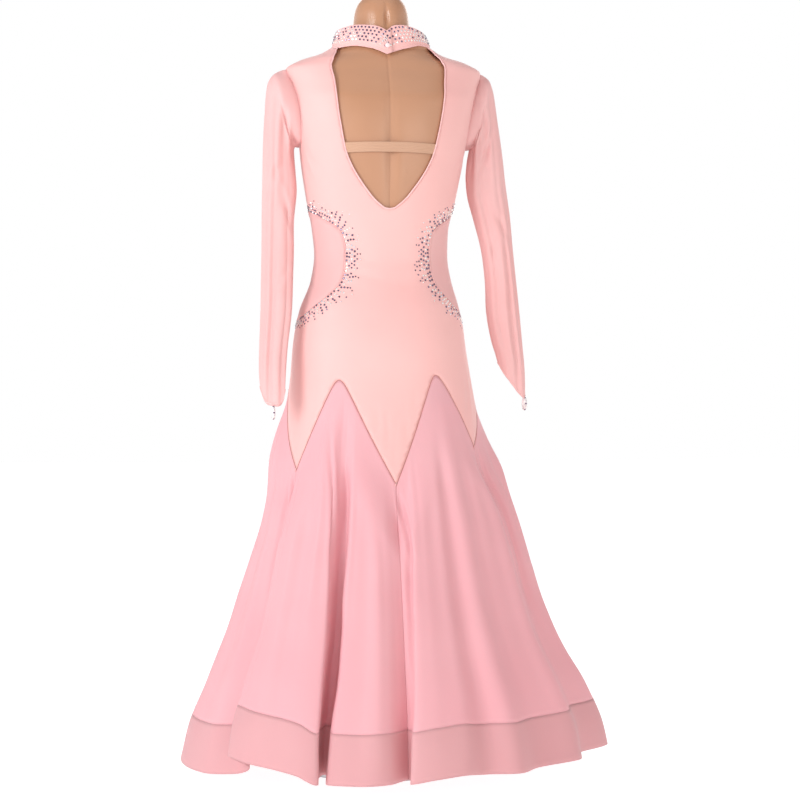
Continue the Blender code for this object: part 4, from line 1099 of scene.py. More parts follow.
def keyhole_path():
    """The open back's edge, from its lowest point up the left side to the collar."""
    keyhole = round_off(np.array(KEYHOLE, float))
    keyhole[-1, 1] = collar_edge(keyhole[-1, 0], "bottom")
    return keyhole


def back_paths():
    """The edges of the back, once round."""
    keyhole = keyhole_path()
    neck = keyhole[-1, 0]
    other = mirrored(keyhole)
    other[0, 1] = collar_edge(-neck, "bottom")
    upper, lower, right = side_paths(False)
    shoulder = np.array([(90.0, collar_edge(90.0, "bottom")), (90.0, ARMHOLE[0][1])])
    far_shoulder = np.array([(-90.0, ARMHOLE[0][1]), (-90.0, collar_edge(-90.0, "bottom"))])
    paths = [keyhole, fine_neck(neck, 90.0), shoulder, armhole_side(True), upper, inset_side(True),
             lower, fine_hip(-SIDE_SEAM, SIDE_SEAM)[::-1], right, mirrored(inset_side(True)),
             mirrored(upper), mirrored(armhole_side(True)), far_shoulder, fine_neck(-90.0, -neck), other]
    return [path[::-1] for path in paths[::-1]]


def front_paths():
    """The edges of the front, once round."""
    upper, lower, right = side_paths(True)
    shoulder = np.array([(90.0, ARMHOLE[0][1]), (90.0, collar_edge(90.0, "bottom"))])
    far_shoulder = np.array([(270.0, collar_edge(-90.0, "bottom")), (270.0, ARMHOLE[0][1])])
    paths = [fine_neck(90.0, 270.0), far_shoulder, front_turn(mirrored(armhole_side(False)))[::-1],
             front_turn(mirrored(upper))[::-1], front_turn(mirrored(inset_side(False)))[::-1],
             right[::-1], fine_hip(SIDE_SEAM, 360.0 - SIDE_SEAM)[::-1], lower[::-1],
             inset_side(False)[::-1], upper[::-1], armhole_side(False)[::-1], shoulder]
    return [path[::-1] for path in paths[::-1]]


def inset_paths(side):
    """The two edges of a waist inset."""
    back, front = inset_side(True), inset_side(False)
    return [back, front[::-1]] if side > 0 else [mirrored(back), mirrored(front[::-1])]


def on_body(path, lift):
    """A path of angle and height as points in space, with the way out at each."""
    normals = body_normal(path[:, 0], path[:, 1])
    return body_point(path[:, 0], path[:, 1]) + normals * lift, normals


def body_line(path, radius, lift, squash):
    """A seam line or rolled edge along a path of angle and height."""
    flat = smooth_path(lay_flat(path), LINE_STEP)
    angle, height = wrap_round(flat)
    points, normals = on_body(np.stack([angle, height], axis=1), lift)
    return tube(points, normals, radius, squash)


def skirt_relief(hip_angle, down):
    """How far soft creases lift or sink the skirt's face."""
    total = np.zeros(np.broadcast(hip_angle, down).shape)
    for top, hem, start, end, width_top, width_hem, depth in SKIRT_CREASES:
        middle = top + (hem - top) * down
        width = width_top + (width_hem - width_top) * down
        fade = soft_step((down - start) / 0.16) * (1.0 - soft_step((down - end + 0.12) / 0.22))
        total += depth * fade * ridge(turn_between(hip_angle, middle), width)
    return total


def skirt_grid():
    """The whole skirt as one fine grid, its normals and where each panel starts."""
    angles, starts = [], []
    for start, end in zip(PANEL_EDGES[:-1], PANEL_EDGES[1:]):
        starts.append(len(angles))
        angles += list(np.linspace(start, end, int(round((end - start) / SKIRT_STEP)) + 1)[:-1])
    angles = np.array(angles)
    hem = ease_round(angles, column(FOLDS, FOLD_COLUMNS, "hip_angle"),
                     column(FOLDS, FOLD_COLUMNS, "hem_height"))
    band = 1.0 - HEM_DEPTH / (hip_seam_height(angles) - hem)
    above = np.linspace(0.0, 1.0, SKIRT_FINE_ROWS + 1)[:, None] * band
    below = band + np.linspace(0.0, 1.0, HEM_FINE_ROWS + 1)[1:, None] * (1.0 - band)
    down = np.concatenate([above, below])
    grid = skirt_point(angles, down)
    faces = grid_faces(*grid.shape[:2], closed=True)
    normals = grid_normals(grid, faces)
    relief = skirt_relief(angles[None, :], down)
    relief += soft_waves(angles[None, :] * 0.004 + 0.0 * down, grid[..., 2], 41,
                         *SKIRT_WAVES) * soft_step(down / 0.2)
    edge = np.min(np.abs(turn_between(angles[:, None], np.array(PANEL_EDGES)[None, :])), axis=1)
    relief -= PANEL_DIP * bump(edge, 0.0, PANEL_DIP_WIDTH)[None, :]
    relief -= SEAM_DIP * bump(down, 0.0, SEAM_DIP_SHARE)
    grid = grid + normals * relief[..., None]
    normals = grid_normals(grid, faces)
    normals[0] = body_normal(angles, hip_seam_height(angles))
    return angles, starts + [len(angles)], grid, normals


def closer(grid, distance):
    """Draws all four sides of a grid in by a distance."""
    grid = draw_in(grid, distance)
    return draw_in(grid.swapaxes(0, 1), distance).swapaxes(0, 1)


def make_skirt_shells(skirt_cloth, hem_cloth):
    """The five skirt panels, each with its hem band."""
    angles, starts, grid, normals = skirt_grid()
    upper = slice(0, SKIRT_FINE_ROWS + 1)
    lower = slice(SKIRT_FINE_ROWS, SKIRT_FINE_ROWS + HEM_FINE_ROWS + 1)
    made = []
    for number, (start, end) in enumerate(zip(starts[:-1], starts[1:]), 1):
        columns = np.arange(start, end + 1) % len(angles)
        piece, ways = grid[upper][:, columns], normals[upper][:, columns]
        piece = closer(piece, FINE_GAP / 2.0)
        piece[-1] += unit(piece[-1] - piece[-2]) * HEM_TUCK
        panel = shell(f"skirt_cloth_{number}", piece.reshape(-1, 3),
                      grid_faces(*piece.shape[:2]), ways.reshape(-1, 3), skirt_cloth)
        dress_up(panel, [f"skirt_panel_{number}"])
        piece, ways = grid[lower][:, columns], normals[lower][:, columns]
        piece = closer(piece + ways * HEM_LIFT, FINE_GAP / 2.0)
        hem = shell(f"hem_cloth_{number}", piece.reshape(-1, 3),
                    grid_faces(*piece.shape[:2]), ways.reshape(-1, 3), hem_cloth, HEM_SHELL)
        dress_up(hem, [f"hem_band_{number}"])
        made.append((panel, hem))
    return made


def sleeve_base(table, side, cuff_point):
    """The part's own sleeve rings, from the armhole to the cuff."""
    turn = full_turn(SLEEVE_SIDES)
    rings = [armhole_ring(side)]
    last = len(table) - 1
    for i, row in enumerate(table):
        size = dict(zip(SLEEVE_COLUMNS, row))
        outer = np.array([size["outer_x"], size["shift_y"] - size["slant_y"], size["outer_z"]])
        inner = np.array([size["inner_x"], size["shift_y"] + size["slant_y"], size["inner_z"]])
        centre, reach = (outer + inner) / 2.0, (outer - inner) / 2.0
        grown = soft_step(i / 4.0)
        pleat = 1.0 + grown * SLEEVE_PLEAT_DEPTH / size["half_depth"] * np.cos(
            SLEEVE_PLEATS * turn + 0.25 * i)
        depth = np.array([0.0, size["half_depth"], 0.0])
        ring = centre + np.cos(turn)[:, None] * reach + (pleat * np.sin(turn))[:, None] * depth
        if i == last:
            ring[:, 2] -= cuff_point * soft_step(np.sin(turn))
        ring[:, 0] += AXIS_X
        ring[:, 1] += AXIS_Y
        rings.append(ring)
    return np.array(rings)


def make_sleeve_shell(name, node, table, side, cuff_point, creases, dents, material):
    """A sleeve as a hollow shell, open at the armhole and the cuff, with its creases."""
    grid = refine(sleeve_base(table, side, cuff_point), SLEEVE_FINE_ROWS, SLEEVE_FINE_SIDES)
    faces = grid_faces(*grid.shape[:2], closed=True)
    if side > 0:
        faces = faces[:, ::-1]
    normals = grid_normals(grid, faces)
    around = np.arange(SLEEVE_FINE_SIDES) * 360.0 / SLEEVE_FINE_SIDES
    along = np.linspace(0.0, 1.0, SLEEVE_FINE_ROWS)[:, None]
    relief = np.zeros(grid.shape[:2])
    for top, foot, start, end, width, depth in creases:
        fade = soft_step((along - start) / 0.12) * (1.0 - soft_step((along - end + 0.10) / 0.16))
        relief += depth * fade * ridge(turn_between(around[None, :], top + (foot - top) * along), width)
    for place, at, wide, tall, slant, depth in dents:
        off = turn_between(around[None, :], place)
        relief += depth * bump(off, 0.0, wide) * ridge(along - at - slant * off, tall)
    relief *= soft_step(along / 0.10)
    relief += HEAD_RISE * soft_step(along / 0.035) * (1.0 - soft_step((along - 0.05) / 0.16))
    relief -= PANEL_DIP * bump(along, 0.0, SEAM_DIP_SHARE)
    grid = grid + normals * relief[..., None]
    normals = grid_normals(grid, faces)
    obj = shell(name, grid.reshape(-1, 3), faces, normals.reshape(-1, 3), material)
    return dress_up(obj, [node]), grid, normals


def fine_collar(material):
    """The stand collar: a softly rolled band whose left end laps over its right end."""
    angles = np.arange(-COLLAR_LAP, 360.0 + COLLAR_LAP + 0.1, COLLAR_FINE)
    wrapped = turn_between(angles, 0.0)
    lift = (COLLAR_WALL + LAP_GAP) * soft_step((4.0 * COLLAR_LAP - angles) / (2.0 * COLLAR_LAP))
    away = outward(angles)
    rows = []
    for up in np.linspace(1.0, 0.0, COLLAR_FINE_ROWS + 1):
        row = collar_point(wrapped, up) + away * lift[:, None]
        roll = COLLAR_ROLL * np.sin(np.pi * up) - COLLAR_HOLLOW * bump(up, 0.14, 0.05)
        row += away * roll
        row += away * (COLLAR_WAVE * np.sin(np.radians(angles * 7.0)) * up)[:, None]
        rows.append(row)
    grid = np.array(rows)
    faces = grid_faces(*grid.shape[:2])
    normals = point_normals(grid.reshape(-1, 3), faces)
    obj = shell("collar_cloth", grid.reshape(-1, 3), faces, normals, material, COLLAR_SHELL)
    dress_up(obj, ["collar"])
    return obj, grid, normals.reshape(grid.shape)


def stone_mesh(places, normals, ways, sizes, dark):
    """Small cut stones, each a flat table, a ring of slanted facets and a low wall."""
    sides = STONE_SIDES
    turn = full_turn(sides)[:, None]
    cos, sin = np.cos(turn), np.sin(turn)
    points, faces, picks = [], [], []
    for i, (place, normal, way, size) in enumerate(zip(places, normals, ways, sizes)):
        side = np.cross(normal, way)
        base = i * sides * len(STONE_PROFILE)
        for radius, out in STONE_PROFILE:
            points.append(place + size / 2.0 * (radius * (cos * way + sin * side) + out * normal))
        for r in range(len(STONE_PROFILE) - 1):
            for k in range(sides):
                m = (k + 1) % sides
                a, b = base + r * sides + k, base + r * sides + m
                faces.append((a, b, b + sides, a + sides))
        faces.append(tuple(range(base + 2 * sides, base + 3 * sides)))
        picks += [int(dark[i])] * (sides * 2 + 1)
    return np.concatenate(points), faces, picks


def stones(name, places, normals, sizes, dark, materials, spin):
    """One joined mesh of stones, set with a little unevenness."""
    way = unit(np.cross(normals, np.array([0.0, 0.0, 1.0])))
    side = np.cross(normals, way)
    way = way * np.cos(spin)[:, None] + side * np.sin(spin)[:, None]
    points, faces, picks = stone_mesh(places, normals, way, sizes, dark)
    return dress_up(mesh_piece(name, points, faces, materials, 0, picks))


def upright_ring(count):
    """Directions round a ring that stands across the body."""
    turn = np.linspace(0.0, 2.0 * np.pi, count, endpoint=False)
    return np.stack([0.0 * turn, np.cos(turn), np.sin(turn)], axis=1)


def inset_stones(side, back, seed):
    """Rows of stones on the bodice along one edge of an inset, thinning away from it."""
    rng = np.random.default_rng(seed)
    path = inset_side(back)
    flat = lay_flat(path if side > 0 else path * np.array([-1.0, 1.0]))
    line = smooth_path(flat, 0.001)
    along = unit(np.gradient(line, axis=0))
    out = np.stack([along[:, 1], -along[:, 0]], axis=1)
    middle = lay_flat(np.array([(SIDE_SEAM * side, 0.93)]))[0]
    if np.mean(np.sum(out * (line - middle), axis=1)) < 0:
        out = -out
    length = 0.001 * len(line)
    rows = []
    for number in range(STONE_ROWS):
        off = STONE_FIRST + number * STONE_PITCH * 0.86
        place = rng.uniform(0.0, 0.003) + (number % 2) * STONE_PITCH / 2.0
        while place < length - 0.002:
            at = place / length
            reach = STONE_BAND[0] + (STONE_BAND[1] - STONE_BAND[0]) * np.sin(np.pi * at) ** 0.8
            edge = reach * rng.uniform(0.72, 1.18)
            if off < edge and (off < 0.75 * reach or rng.random() < 0.66):
                k = min(len(line) - 1, int(place / 0.001))
                spot = line[k] + out[k] * (off + rng.uniform(-0.0006, 0.0006))
                small = off > 0.7 * reach
                size = rng.uniform(*(SMALL_STONE_SIZES if small else STONE_SIZES))
                rows.append((spot[0], spot[1], size, float(rng.random() < (0.62 if small else 0.46))))
            stretch = 1.0 + 0.35 * (off / 0.03)
            place += STONE_PITCH * rng.uniform(0.90, 1.12) * stretch
    rows = np.array(rows)
    angle, height = wrap_round(rows[:, :2])
    return angle, height, rows[:, 2], rows[:, 3]


def strap_shell(material):
    """The ribbed elastic across the open back."""
    angle, height = wrap_round(even_steps(lay_flat(round_off(KEYHOLE)), PANEL_SPACING))
    levels = STRAP_CENTRE + STRAP_WIDTH * np.linspace(-0.5, 0.5, STRAP_FINE_ROWS)
    reach = np.interp(levels, height, angle)
    across = np.linspace(1.0, -1.0, STRAP_FINE_COLUMNS)
    rib = STRAP_RIB * np.cos(2.0 * np.pi * np.arange(STRAP_FINE_ROWS) / 7.0)
    grid = np.array([body_point(across * r, level + STRAP_RISE * (1.0 - across ** 2))
                     for level, r in zip(levels, reach)])
    faces = grid_faces(*grid.shape[:2])
    normals = point_normals(grid.reshape(-1, 3), faces)
    ripple = STRAP_RIPPLE * np.sin(np.linspace(0.0, STRAP_FINE_COLUMNS * np.pi, STRAP_FINE_COLUMNS))
    points = grid.reshape(-1, 3) + normals * (rib[:, None] + ripple[None, :]).reshape(-1, 1)
    obj = shell("strap_elastic", points, faces, normals, material, STRAP_SHELL)
    return dress_up(obj, ["back_strap"])


def form_shell(material):
    """The limbless form's cover, smooth, with a soft groove along the spine."""
    angles = np.concatenate([np.arange(-6.0, 6.0, 0.5), np.arange(6.0, 354.0, 2.5)])
    sides = len(angles)
    wrapped = turn_between(angles, 0.0)
    heights = np.concatenate([np.linspace(FORM_BOTTOM, 1.240, 90, endpoint=False),
                              np.linspace(1.240, FORM_ROWS[-1], 36)])
    rings = []
    for height in heights:
        near_top = soft_step((height - SHOULDER_EASE_START) / SHOULDER_EASE)
        clearance = FORM_CLEARANCE + (SKIN_CLEARANCE - FORM_CLEARANCE) * near_top
        ring = body_point(wrapped, height) - body_normal(wrapped, height) * (BODICE_WALL + clearance)
        off = np.hypot((np.abs(wrapped) - SHOULDER_END_ANGLE) / SHOULDER_END_SPREAD,
                       (height - SHOULDER_END_HEIGHT) / SHOULDER_END_REACH)
        ring[:, 0] += np.sign(wrapped) * SHOULDER_END * soft_step(1.0 - off)
        tall = bump(height, 1.13, 0.11)
        groove = -SPINE_DEPTH * bump(wrapped, SPINE_ANGLE, 4.0) * tall
        groove -= SPINE_LINE * bump(wrapped, SPINE_ANGLE, 0.8) * soft_step((height - 0.98) / 0.05)
        blades = BLADE_RISE * bump(np.abs(wrapped), 19.0, 9.0) * bump(height, 1.19, 0.05)
        blades += BLADE_RISE * bump(wrapped, -8.0, 5.0) * bump(height, 1.09, 0.04)
        ring += body_normal(wrapped, height) * (groove + blades)[:, None]
        if height == FORM_BOTTOM:
            ring[:, 2] = FORM_BOTTOM
        rings.append(ring)
    levels = np.array([row[0] for row in NECK])
    shoulder = rings[-1]
    rows = np.linspace(FORM_ROWS[-1], levels[-1], 70)[1:]
    base_x = np.abs(shoulder[:, 0] - AXIS_X).max()
    base_y = np.abs(shoulder[:, 1] - AXIS_Y).max()
    xs = np.concatenate([[FORM_ROWS[-1]], levels])
    widths = np.concatenate([[base_x], column(NECK, NECK_COLUMNS, "half_width")])
    depths = np.concatenate([[base_y], column(NECK, NECK_COLUMNS, "half_depth")])
    for height in rows:
        width, depth = ease(height, xs, widths), ease(height, xs, depths)
        ring = ring_point(wrapped, height, width, width, depth, depth, 2.0)
        mixed = soft_step((height - FORM_ROWS[-1]) / 0.016)
        pulled = shoulder.copy()
        pulled[:, 2] = height
        ring = pulled + (ring - pulled) * mixed
        near = bump(height, NAPE_HEIGHT, 0.020)
        nape = -NAPE_DEPTH * bump(wrapped, NAPE_ANGLE, 5.5) * near
        cords = NAPE_CORD * bump(np.abs(wrapped - NAPE_ANGLE), 22.0, 10.0) * near
        ring[:, 1] += nape + cords
        rings.append(ring)
    grid = np.array(rings)
    count = len(rings)
    ends = [[AXIS_X, AXIS_Y, NECK_TOP], [AXIS_X, AXIS_Y, FORM_BOTTOM]]
    points = np.concatenate([grid.reshape(-1, 3), ends])
    faces = [tuple(f) for f in grid_faces(count, sides, closed=True)[:, ::-1].tolist()]
    top, last = len(points) - 2, (count - 1) * sides
    caps = []
    for k in range(sides):
        n = (k + 1) % sides
        faces.append((last + n, last + k, top))
        caps.append((k, n, top + 1))
    obj = mesh_piece("form_cover_skin", points, faces + caps, material, flat_from=len(faces))
    return dress_up(obj, ["form_torso"])


def lathe(name, profile, sides, material):
    """A round solid on the body axis from rows of radius and height."""
    turn = full_turn(sides)
    x, y = np.cos(turn), np.sin(turn)
    points = np.concatenate([np.stack([AXIS_X + r * x, AXIS_Y + r * y, 0.0 * turn + z], 1)
                             for r, z in profile])
    faces = [face[::-1] for face in ring_faces(len(profile), sides)]
    return mesh_piece(name, points, faces, material, flat_from=(len(profile) - 1) * sides)


def set_inputs(node, **values):
    """Sets a node's inputs; an underscore in a name stands for a space."""
    for name, value in values.items():
        node.inputs[name.replace("_", " ")].default_value = value
    return node


def set_stops(ramp, *stops):
    """Sets a colour ramp's stops, each a place and a colour."""
    for stop, (place, colour) in zip(ramp.color_ramp.elements, stops):
        stop.position = place
        stop.color = (*colour, 1.0)


def shader_of(material):
    """The shader that every new material starts with."""
    return material.node_tree.nodes["Principled BSDF"]


def tinted(name, low, high, size, detail, seed, stretch=(1.0, 1.0, 1.0)):
    """A new material and a soft uneven colour for it, from noise in the piece's own space."""
    material = bpy.data.materials.new(name)
    material.use_nodes = True
    nodes, links = material.node_tree.nodes, material.node_tree.links
    place = nodes.new("ShaderNodeTexCoord")
    mapping = set_inputs(nodes.new("ShaderNodeMapping"), Scale=stretch,
                         Location=(seed, seed * 0.7, seed * 0.3))
    links.new(place.outputs["Object"], mapping.inputs["Vector"])
    noise = set_inputs(nodes.new("ShaderNodeTexNoise"), Scale=size, Detail=detail)
    links.new(mapping.outputs["Vector"], noise.inputs["Vector"])
    ramp = nodes.new("ShaderNodeValToRGB")
    set_stops(ramp, (0.32, low), (0.68, high))
    links.new(noise.outputs["Fac"], ramp.inputs["Fac"])
    return material, nodes, links, mapping, ramp


def roughen(nodes, links, material, height, strength, distance):
    """A fine relief of the surface from a texture's height."""
    relief = set_inputs(nodes.new("ShaderNodeBump"), Strength=strength, Distance=distance)
    links.new(height, relief.inputs["Height"])
    links.new(relief.outputs["Normal"], shader_of(material).inputs["Normal"])


def finish_cloth(name, low, high, roughness, sheen, weave, rib, sheer=0.0, glow=0.0, seed=0.0):
    """Knitted or woven cloth: faint uneven colour, a fine rib and some light through it."""
    material, nodes, links, mapping, ramp = tinted(name, low, high, 5.0, 5.0, seed)
    fine = set_inputs(nodes.new("ShaderNodeTexNoise"), Scale=weave, Detail=3.0)
    links.new(mapping.outputs["Vector"], fine.inputs["Vector"])
    mix = nodes.new("ShaderNodeMix")
    mix.data_type = "RGBA"
    mix.blend_type = "MULTIPLY"
    mix.inputs["Factor"].default_value = 0.10
    links.new(ramp.outputs["Color"], mix.inputs["A"])
    links.new(fine.outputs["Color"], mix.inputs["B"])
    end = set_inputs(shader_of(material), Roughness=roughness, Sheen_Weight=sheen,
                     Sheen_Roughness=0.45, Specular_IOR_Level=0.25)
    links.new(mix.outputs["Result"], end.inputs["Base Color"])
    wave = nodes.new("ShaderNodeTexWave")
    wave.wave_type = "BANDS"
    wave.bands_direction = "DIAGONAL"
    set_inputs(wave, Scale=weave * 0.6, Distortion=2.0)
    links.new(mapping.outputs["Vector"], wave.inputs["Vector"])
    roughen(nodes, links, material, wave.outputs["Fac"], rib, 0.0004)
    for kind, share in (("Translucent", glow), ("Transparent", sheer)):
        if share:
            through = nodes.new("ShaderNodeBsdf" + kind)
            if kind == "Translucent":
                links.new(mix.outputs["Result"], through.inputs["Color"])
            blend = set_inputs(nodes.new("ShaderNodeMixShader"), Fac=share)
            links.new(end.outputs[0], blend.inputs[1])
            links.new(through.outputs["BSDF"], blend.inputs[2])
            links.new(blend.outputs[0], nodes["Material Output"].inputs["Surface"])
            end = blend
    return material


def finish_plain(name, low, high, roughness, size, metallic=0.0, coat=0.0, grain=0.0, seed=0.0,
                 stretch=(1.0, 1.0, 1.0), specular=0.5):
    """A solid finish with a faint uneven colour."""
    material, nodes, links, mapping, ramp = tinted(name, low, high, size, 4.0, seed, stretch)
    shader = set_inputs(shader_of(material), Roughness=roughness, Metallic=metallic,
                        Coat_Weight=coat, Specular_IOR_Level=specular)
    links.new(ramp.outputs["Color"], shader.inputs["Base Color"])
    if grain:
        noise = set_inputs(nodes.new("ShaderNodeTexNoise"), Scale=size * 12.0)
        links.new(mapping.outputs["Vector"], noise.inputs["Vector"])
        roughen(nodes, links, material, noise.outputs["Fac"], grain, 0.0005)
    return material


JERSEY = finish_cloth("bodice jersey", (0.950, 0.515, 0.490), (0.975, 0.560, 0.530), 0.50, 0.25,
                      900.0, 0.10, glow=0.10, seed=1.0)
MESH = finish_cloth("stretch mesh", (0.990, 0.575, 0.560), (0.995, 0.625, 0.610), 0.60, 0.25,
                    1100.0, 0.16, sheer=0.05, glow=0.24, seed=2.0)
CREPE = finish_cloth("skirt crepe", (0.965, 0.535, 0.575), (0.980, 0.570, 0.605), 0.62, 0.25,
                     1000.0, 0.12, glow=0.30, seed=3.0)
HEM = finish_cloth("hem crepe", (0.845, 0.450, 0.470), (0.870, 0.485, 0.500), 0.55, 0.30,
                   1200.0, 0.16, glow=0.26, seed=4.0)
# Painted seam shade: a dark brown colour for the hip seam's line, standing in for the shade in the seam
PAINTED_SEAM_SHADE = finish_cloth("seam shade", (0.560, 0.235, 0.215), (0.640, 0.290, 0.260), 0.75, 0.10,
                           1400.0, 0.10, seed=5.0)
SEAM_PALE = finish_cloth("seam edge", (0.880, 0.500, 0.490), (0.930, 0.560, 0.540), 0.60, 0.30,
                         1400.0, 0.10, seed=6.0)
ELASTIC = finish_cloth("nude elastic", (0.560, 0.325, 0.215), (0.605, 0.360, 0.245), 0.55, 0.15,
                       900.0, 0.14, seed=7.0)
PALE_ELASTIC = finish_cloth("pale elastic", (0.880, 0.770, 0.770), (0.930, 0.840, 0.840), 0.45, 0.20,
                            1400.0, 0.12, seed=8.0)
COVER = finish_plain("form cover", (0.445, 0.220, 0.122), (0.490, 0.250, 0.147), 0.27, 4.0,
                     grain=0.04, seed=9.0, specular=0.50)
STONE_DARK = finish_plain("stone dark", (0.060, 0.040, 0.075), (0.260, 0.200, 0.300), 0.12, 210.0,
                          metallic=0.55, coat=0.6, seed=10.0)
STONE_PALE = finish_plain("stone pale", (0.560, 0.600, 0.700), (0.950, 0.840, 0.720), 0.10, 190.0,
                          metallic=0.45, coat=0.7, seed=11.0)
GLASS = finish_plain("clear bead", (0.860, 0.600, 0.600), (0.930, 0.700, 0.700), 0.12, 60.0,
                     coat=0.5, seed=12.0)
STEEL = finish_plain("stand steel", (0.480, 0.480, 0.500), (0.600, 0.600, 0.620), 0.30, 30.0,
                     metallic=1.0, grain=0.05, seed=13.0, stretch=(1.0, 1.0, 0.05))
FLOOR = finish_plain("floor", (0.400, 0.400, 0.400), (0.420, 0.420, 0.420), 0.90, 3.0, seed=14.0,
                     specular=0.1)
set_inputs(shader_of(FLOOR), Emission_Color=(1.0, 1.0, 1.0, 1.0), Emission_Strength=0.90)


# Bodice, insets and sleeves
back = dress_up(fine_panel("back_cloth", back_paths(), JERSEY, 21), ["back_bodice"])
front = dress_up(fine_panel("front_cloth", front_paths(), JERSEY, 22), ["front_bodice"])
inset_left = dress_up(fine_panel("inset_mesh_left", inset_paths(1), MESH, 23),
                      ["waist_inset_left"])
inset_right = dress_up(fine_panel("inset_mesh_right", inset_paths(-1), MESH, 24),
                       ["waist_inset_right"])
sleeve_left, left_grid, left_ways = make_sleeve_shell(
    "sleeve_mesh_left", "sleeve_left", SLEEVE_LEFT, 1, LEFT_CUFF_POINT, SLEEVE_CREASES_LEFT,
    SLEEVE_DENTS_LEFT, MESH)
sleeve_right, right_grid, right_ways = make_sleeve_shell(
    "sleeve_mesh_right", "sleeve_right", SLEEVE_RIGHT, -1, RIGHT_CUFF_POINT, SLEEVE_CREASES_RIGHT,
    SLEEVE_DENTS_RIGHT, MESH)
skirt = make_skirt_shells(CREPE, HEM)
collar, collar_net, collar_ways = fine_collar(JERSEY)
strap = strap_shell(ELASTIC)

# Rolled edge of the open back, from one side of the collar to the other
keyhole = keyhole_path()
around = np.concatenate([mirrored(keyhole), keyhole[1:]])
edge = dress_up(mesh_piece("keyhole_edge", *body_line(around, *KEYHOLE_EDGE), SEAM_PALE))

# Seams: a thin line where two pieces meet; the dark line at the hips is painted shade standing in for the
# shade in the seam
hip_line = dress_up(tubes("hip_seam_line", [body_line(fine_hip(-180.0, 180.0), *HIP_LINE)],
                          PAINTED_SEAM_SHADE))
seam_parts = []
for side in (1.0, -1.0):
    way = np.array([side, 1.0])
    for line in (armhole_side(True), armhole_side(False), inset_side(True), inset_side(False)):
        seam_parts.append(body_line(line * way, *SEAM_LINE))
seams = dress_up(tubes("seam_lines", seam_parts, SEAM_PALE))

# Small thread tacks at the points of the hip seam
tacks = []
for point_angle in (0.0, 60.0, -56.0, 139.0, -135.0):
    height = float(hip_seam_height(point_angle))
    place = np.array([(point_angle + turn, height + rise) for turn, rise in TACK_ENDS])
    tacks.append(tube(*on_body(place, TACK_LIFT), TACK_THREAD))
dress_up(tubes("seam_tacks", tacks, SEAM_PALE))

# Cuff and collar edges, stitched flat
cuffs = [tube(net[-2], outs[-2], *CUFF_EDGE, closed=True)
         for net, outs in ((left_grid, left_ways), (right_grid, right_ways))]
cuff = dress_up(tubes("cuff_edges", cuffs, SEAM_PALE))
collar_edges = [tube(collar_net[row], collar_ways[row], *COLLAR_EDGE) for row in (0, -1)]
collar_rim = dress_up(tubes("collar_edges", collar_edges, SEAM_PALE))

# Stones on the collar, in even rows above a plain strip
rng = np.random.default_rng(7)
places, ways, sizes, dark = [], [], [], []
angles = np.arange(-COLLAR_LAP + 2.0, 358.0, 360.0 * STONE_PITCH / COLLAR_GIRTH)
for row in range(COLLAR_STONE_ROWS):
    up = COLLAR_STONE_LOW + (COLLAR_STONE_HIGH - COLLAR_STONE_LOW) * row / (COLLAR_STONE_ROWS - 1)
    for angle in angles + (row % 2) * 0.5 * (angles[1] - angles[0]):
        if angle > 359.0:
            continue
        at = (angle + COLLAR_LAP) / COLLAR_FINE
        low, share = int(at), at - int(at)
        line = (1.0 - up) * COLLAR_FINE_ROWS
        r, deep = int(line), line - int(line)
        corners = [(r, low, (1 - share) * (1 - deep)), (r, low + 1, share * (1 - deep)),
                   (r + 1, low, (1 - share) * deep), (r + 1, low + 1, share * deep)]
        places.append(sum(collar_net[i, k] * w for i, k, w in corners))
        normal = sum(collar_ways[i, k] * w for i, k, w in corners)
        ways.append(normal / np.linalg.norm(normal))
        sizes.append(rng.uniform(*COLLAR_STONE_SIZES))
        patch = np.sin(np.radians(angle) * 3.0 + 0.8) * 0.34
        dark.append(rng.random() < 0.52 + patch)
collar_stones = stones("collar_stones", np.array(places), np.array(ways), sizes, dark,
                       [STONE_PALE, STONE_DARK],
                       rng.uniform(-0.5, 0.5, len(places)))

# Stones along the insets
places, ways, sizes, dark = [], [], [], []
for side in (1, -1):
    for is_back in (True, False):
        angle, height, size, deep = inset_stones(side, is_back, 100 + 10 * side + int(is_back))
        spots, outs = on_body(np.stack([angle, height], axis=1), 0.0001)
        places.append(spots)
        ways.append(outs)
        sizes += size.tolist()
        dark += [d > 0.5 for d in deep]
places, ways = np.concatenate(places), np.concatenate(ways)
inset_set = stones("inset_stones", places, ways, sizes, dark, [STONE_PALE, STONE_DARK],
                   np.random.default_rng(8).uniform(-0.5, 0.5, len(places)))

# Finger loops: a soft elastic ring set with stones all round
loop_section = ((LOOP_RADIUS, -0.5), (LOOP_RADIUS + 0.3 * LOOP_WALL, -0.52),
                (LOOP_RADIUS + LOOP_WALL, -0.36), (LOOP_RADIUS + LOOP_WALL, 0.36),
                (LOOP_RADIUS + 0.3 * LOOP_WALL, 0.52), (LOOP_RADIUS, 0.5))
for name, node, tip in (
        ("loop_left", "finger_loop_left",
         left_grid[-1][SLEEVE_FINE_SIDES // 4] - np.array([0.0, SHELL_WALL / 2.0, 0.0])),
        ("loop_right", "finger_loop_right",
         right_grid[-1][0] + np.array([MESH_WALL, 0.0, 0.0]))):
    centre = tip - np.array([0.0, 0.0, LOOP_RADIUS + LOOP_WALL])
    ring, outs = upright_ring(LOOP_FINE_SIDES), upright_ring(LOOP_STONES)
    points = [centre + ring * radius + np.array([LOOP_BAND * out, 0.0, 0.0])
              for radius, out in loop_section]
    faces = [face[::-1] for face in ring_faces(len(loop_section), LOOP_FINE_SIDES, closed=True)]
    band = mesh_piece(name + "_elastic", np.concatenate(points), faces, PALE_ELASTIC)
    dress_up(band, [node])
    spots = centre + outs * (LOOP_RADIUS + LOOP_WALL)
    stones(name + "_stones", spots, outs + 1e-4, np.full(LOOP_STONES, LOOP_STONE_SIZE),
           (np.arange(LOOP_STONES) % 3 == 0).tolist(), [STONE_PALE, STONE_DARK],
           np.zeros(LOOP_STONES))

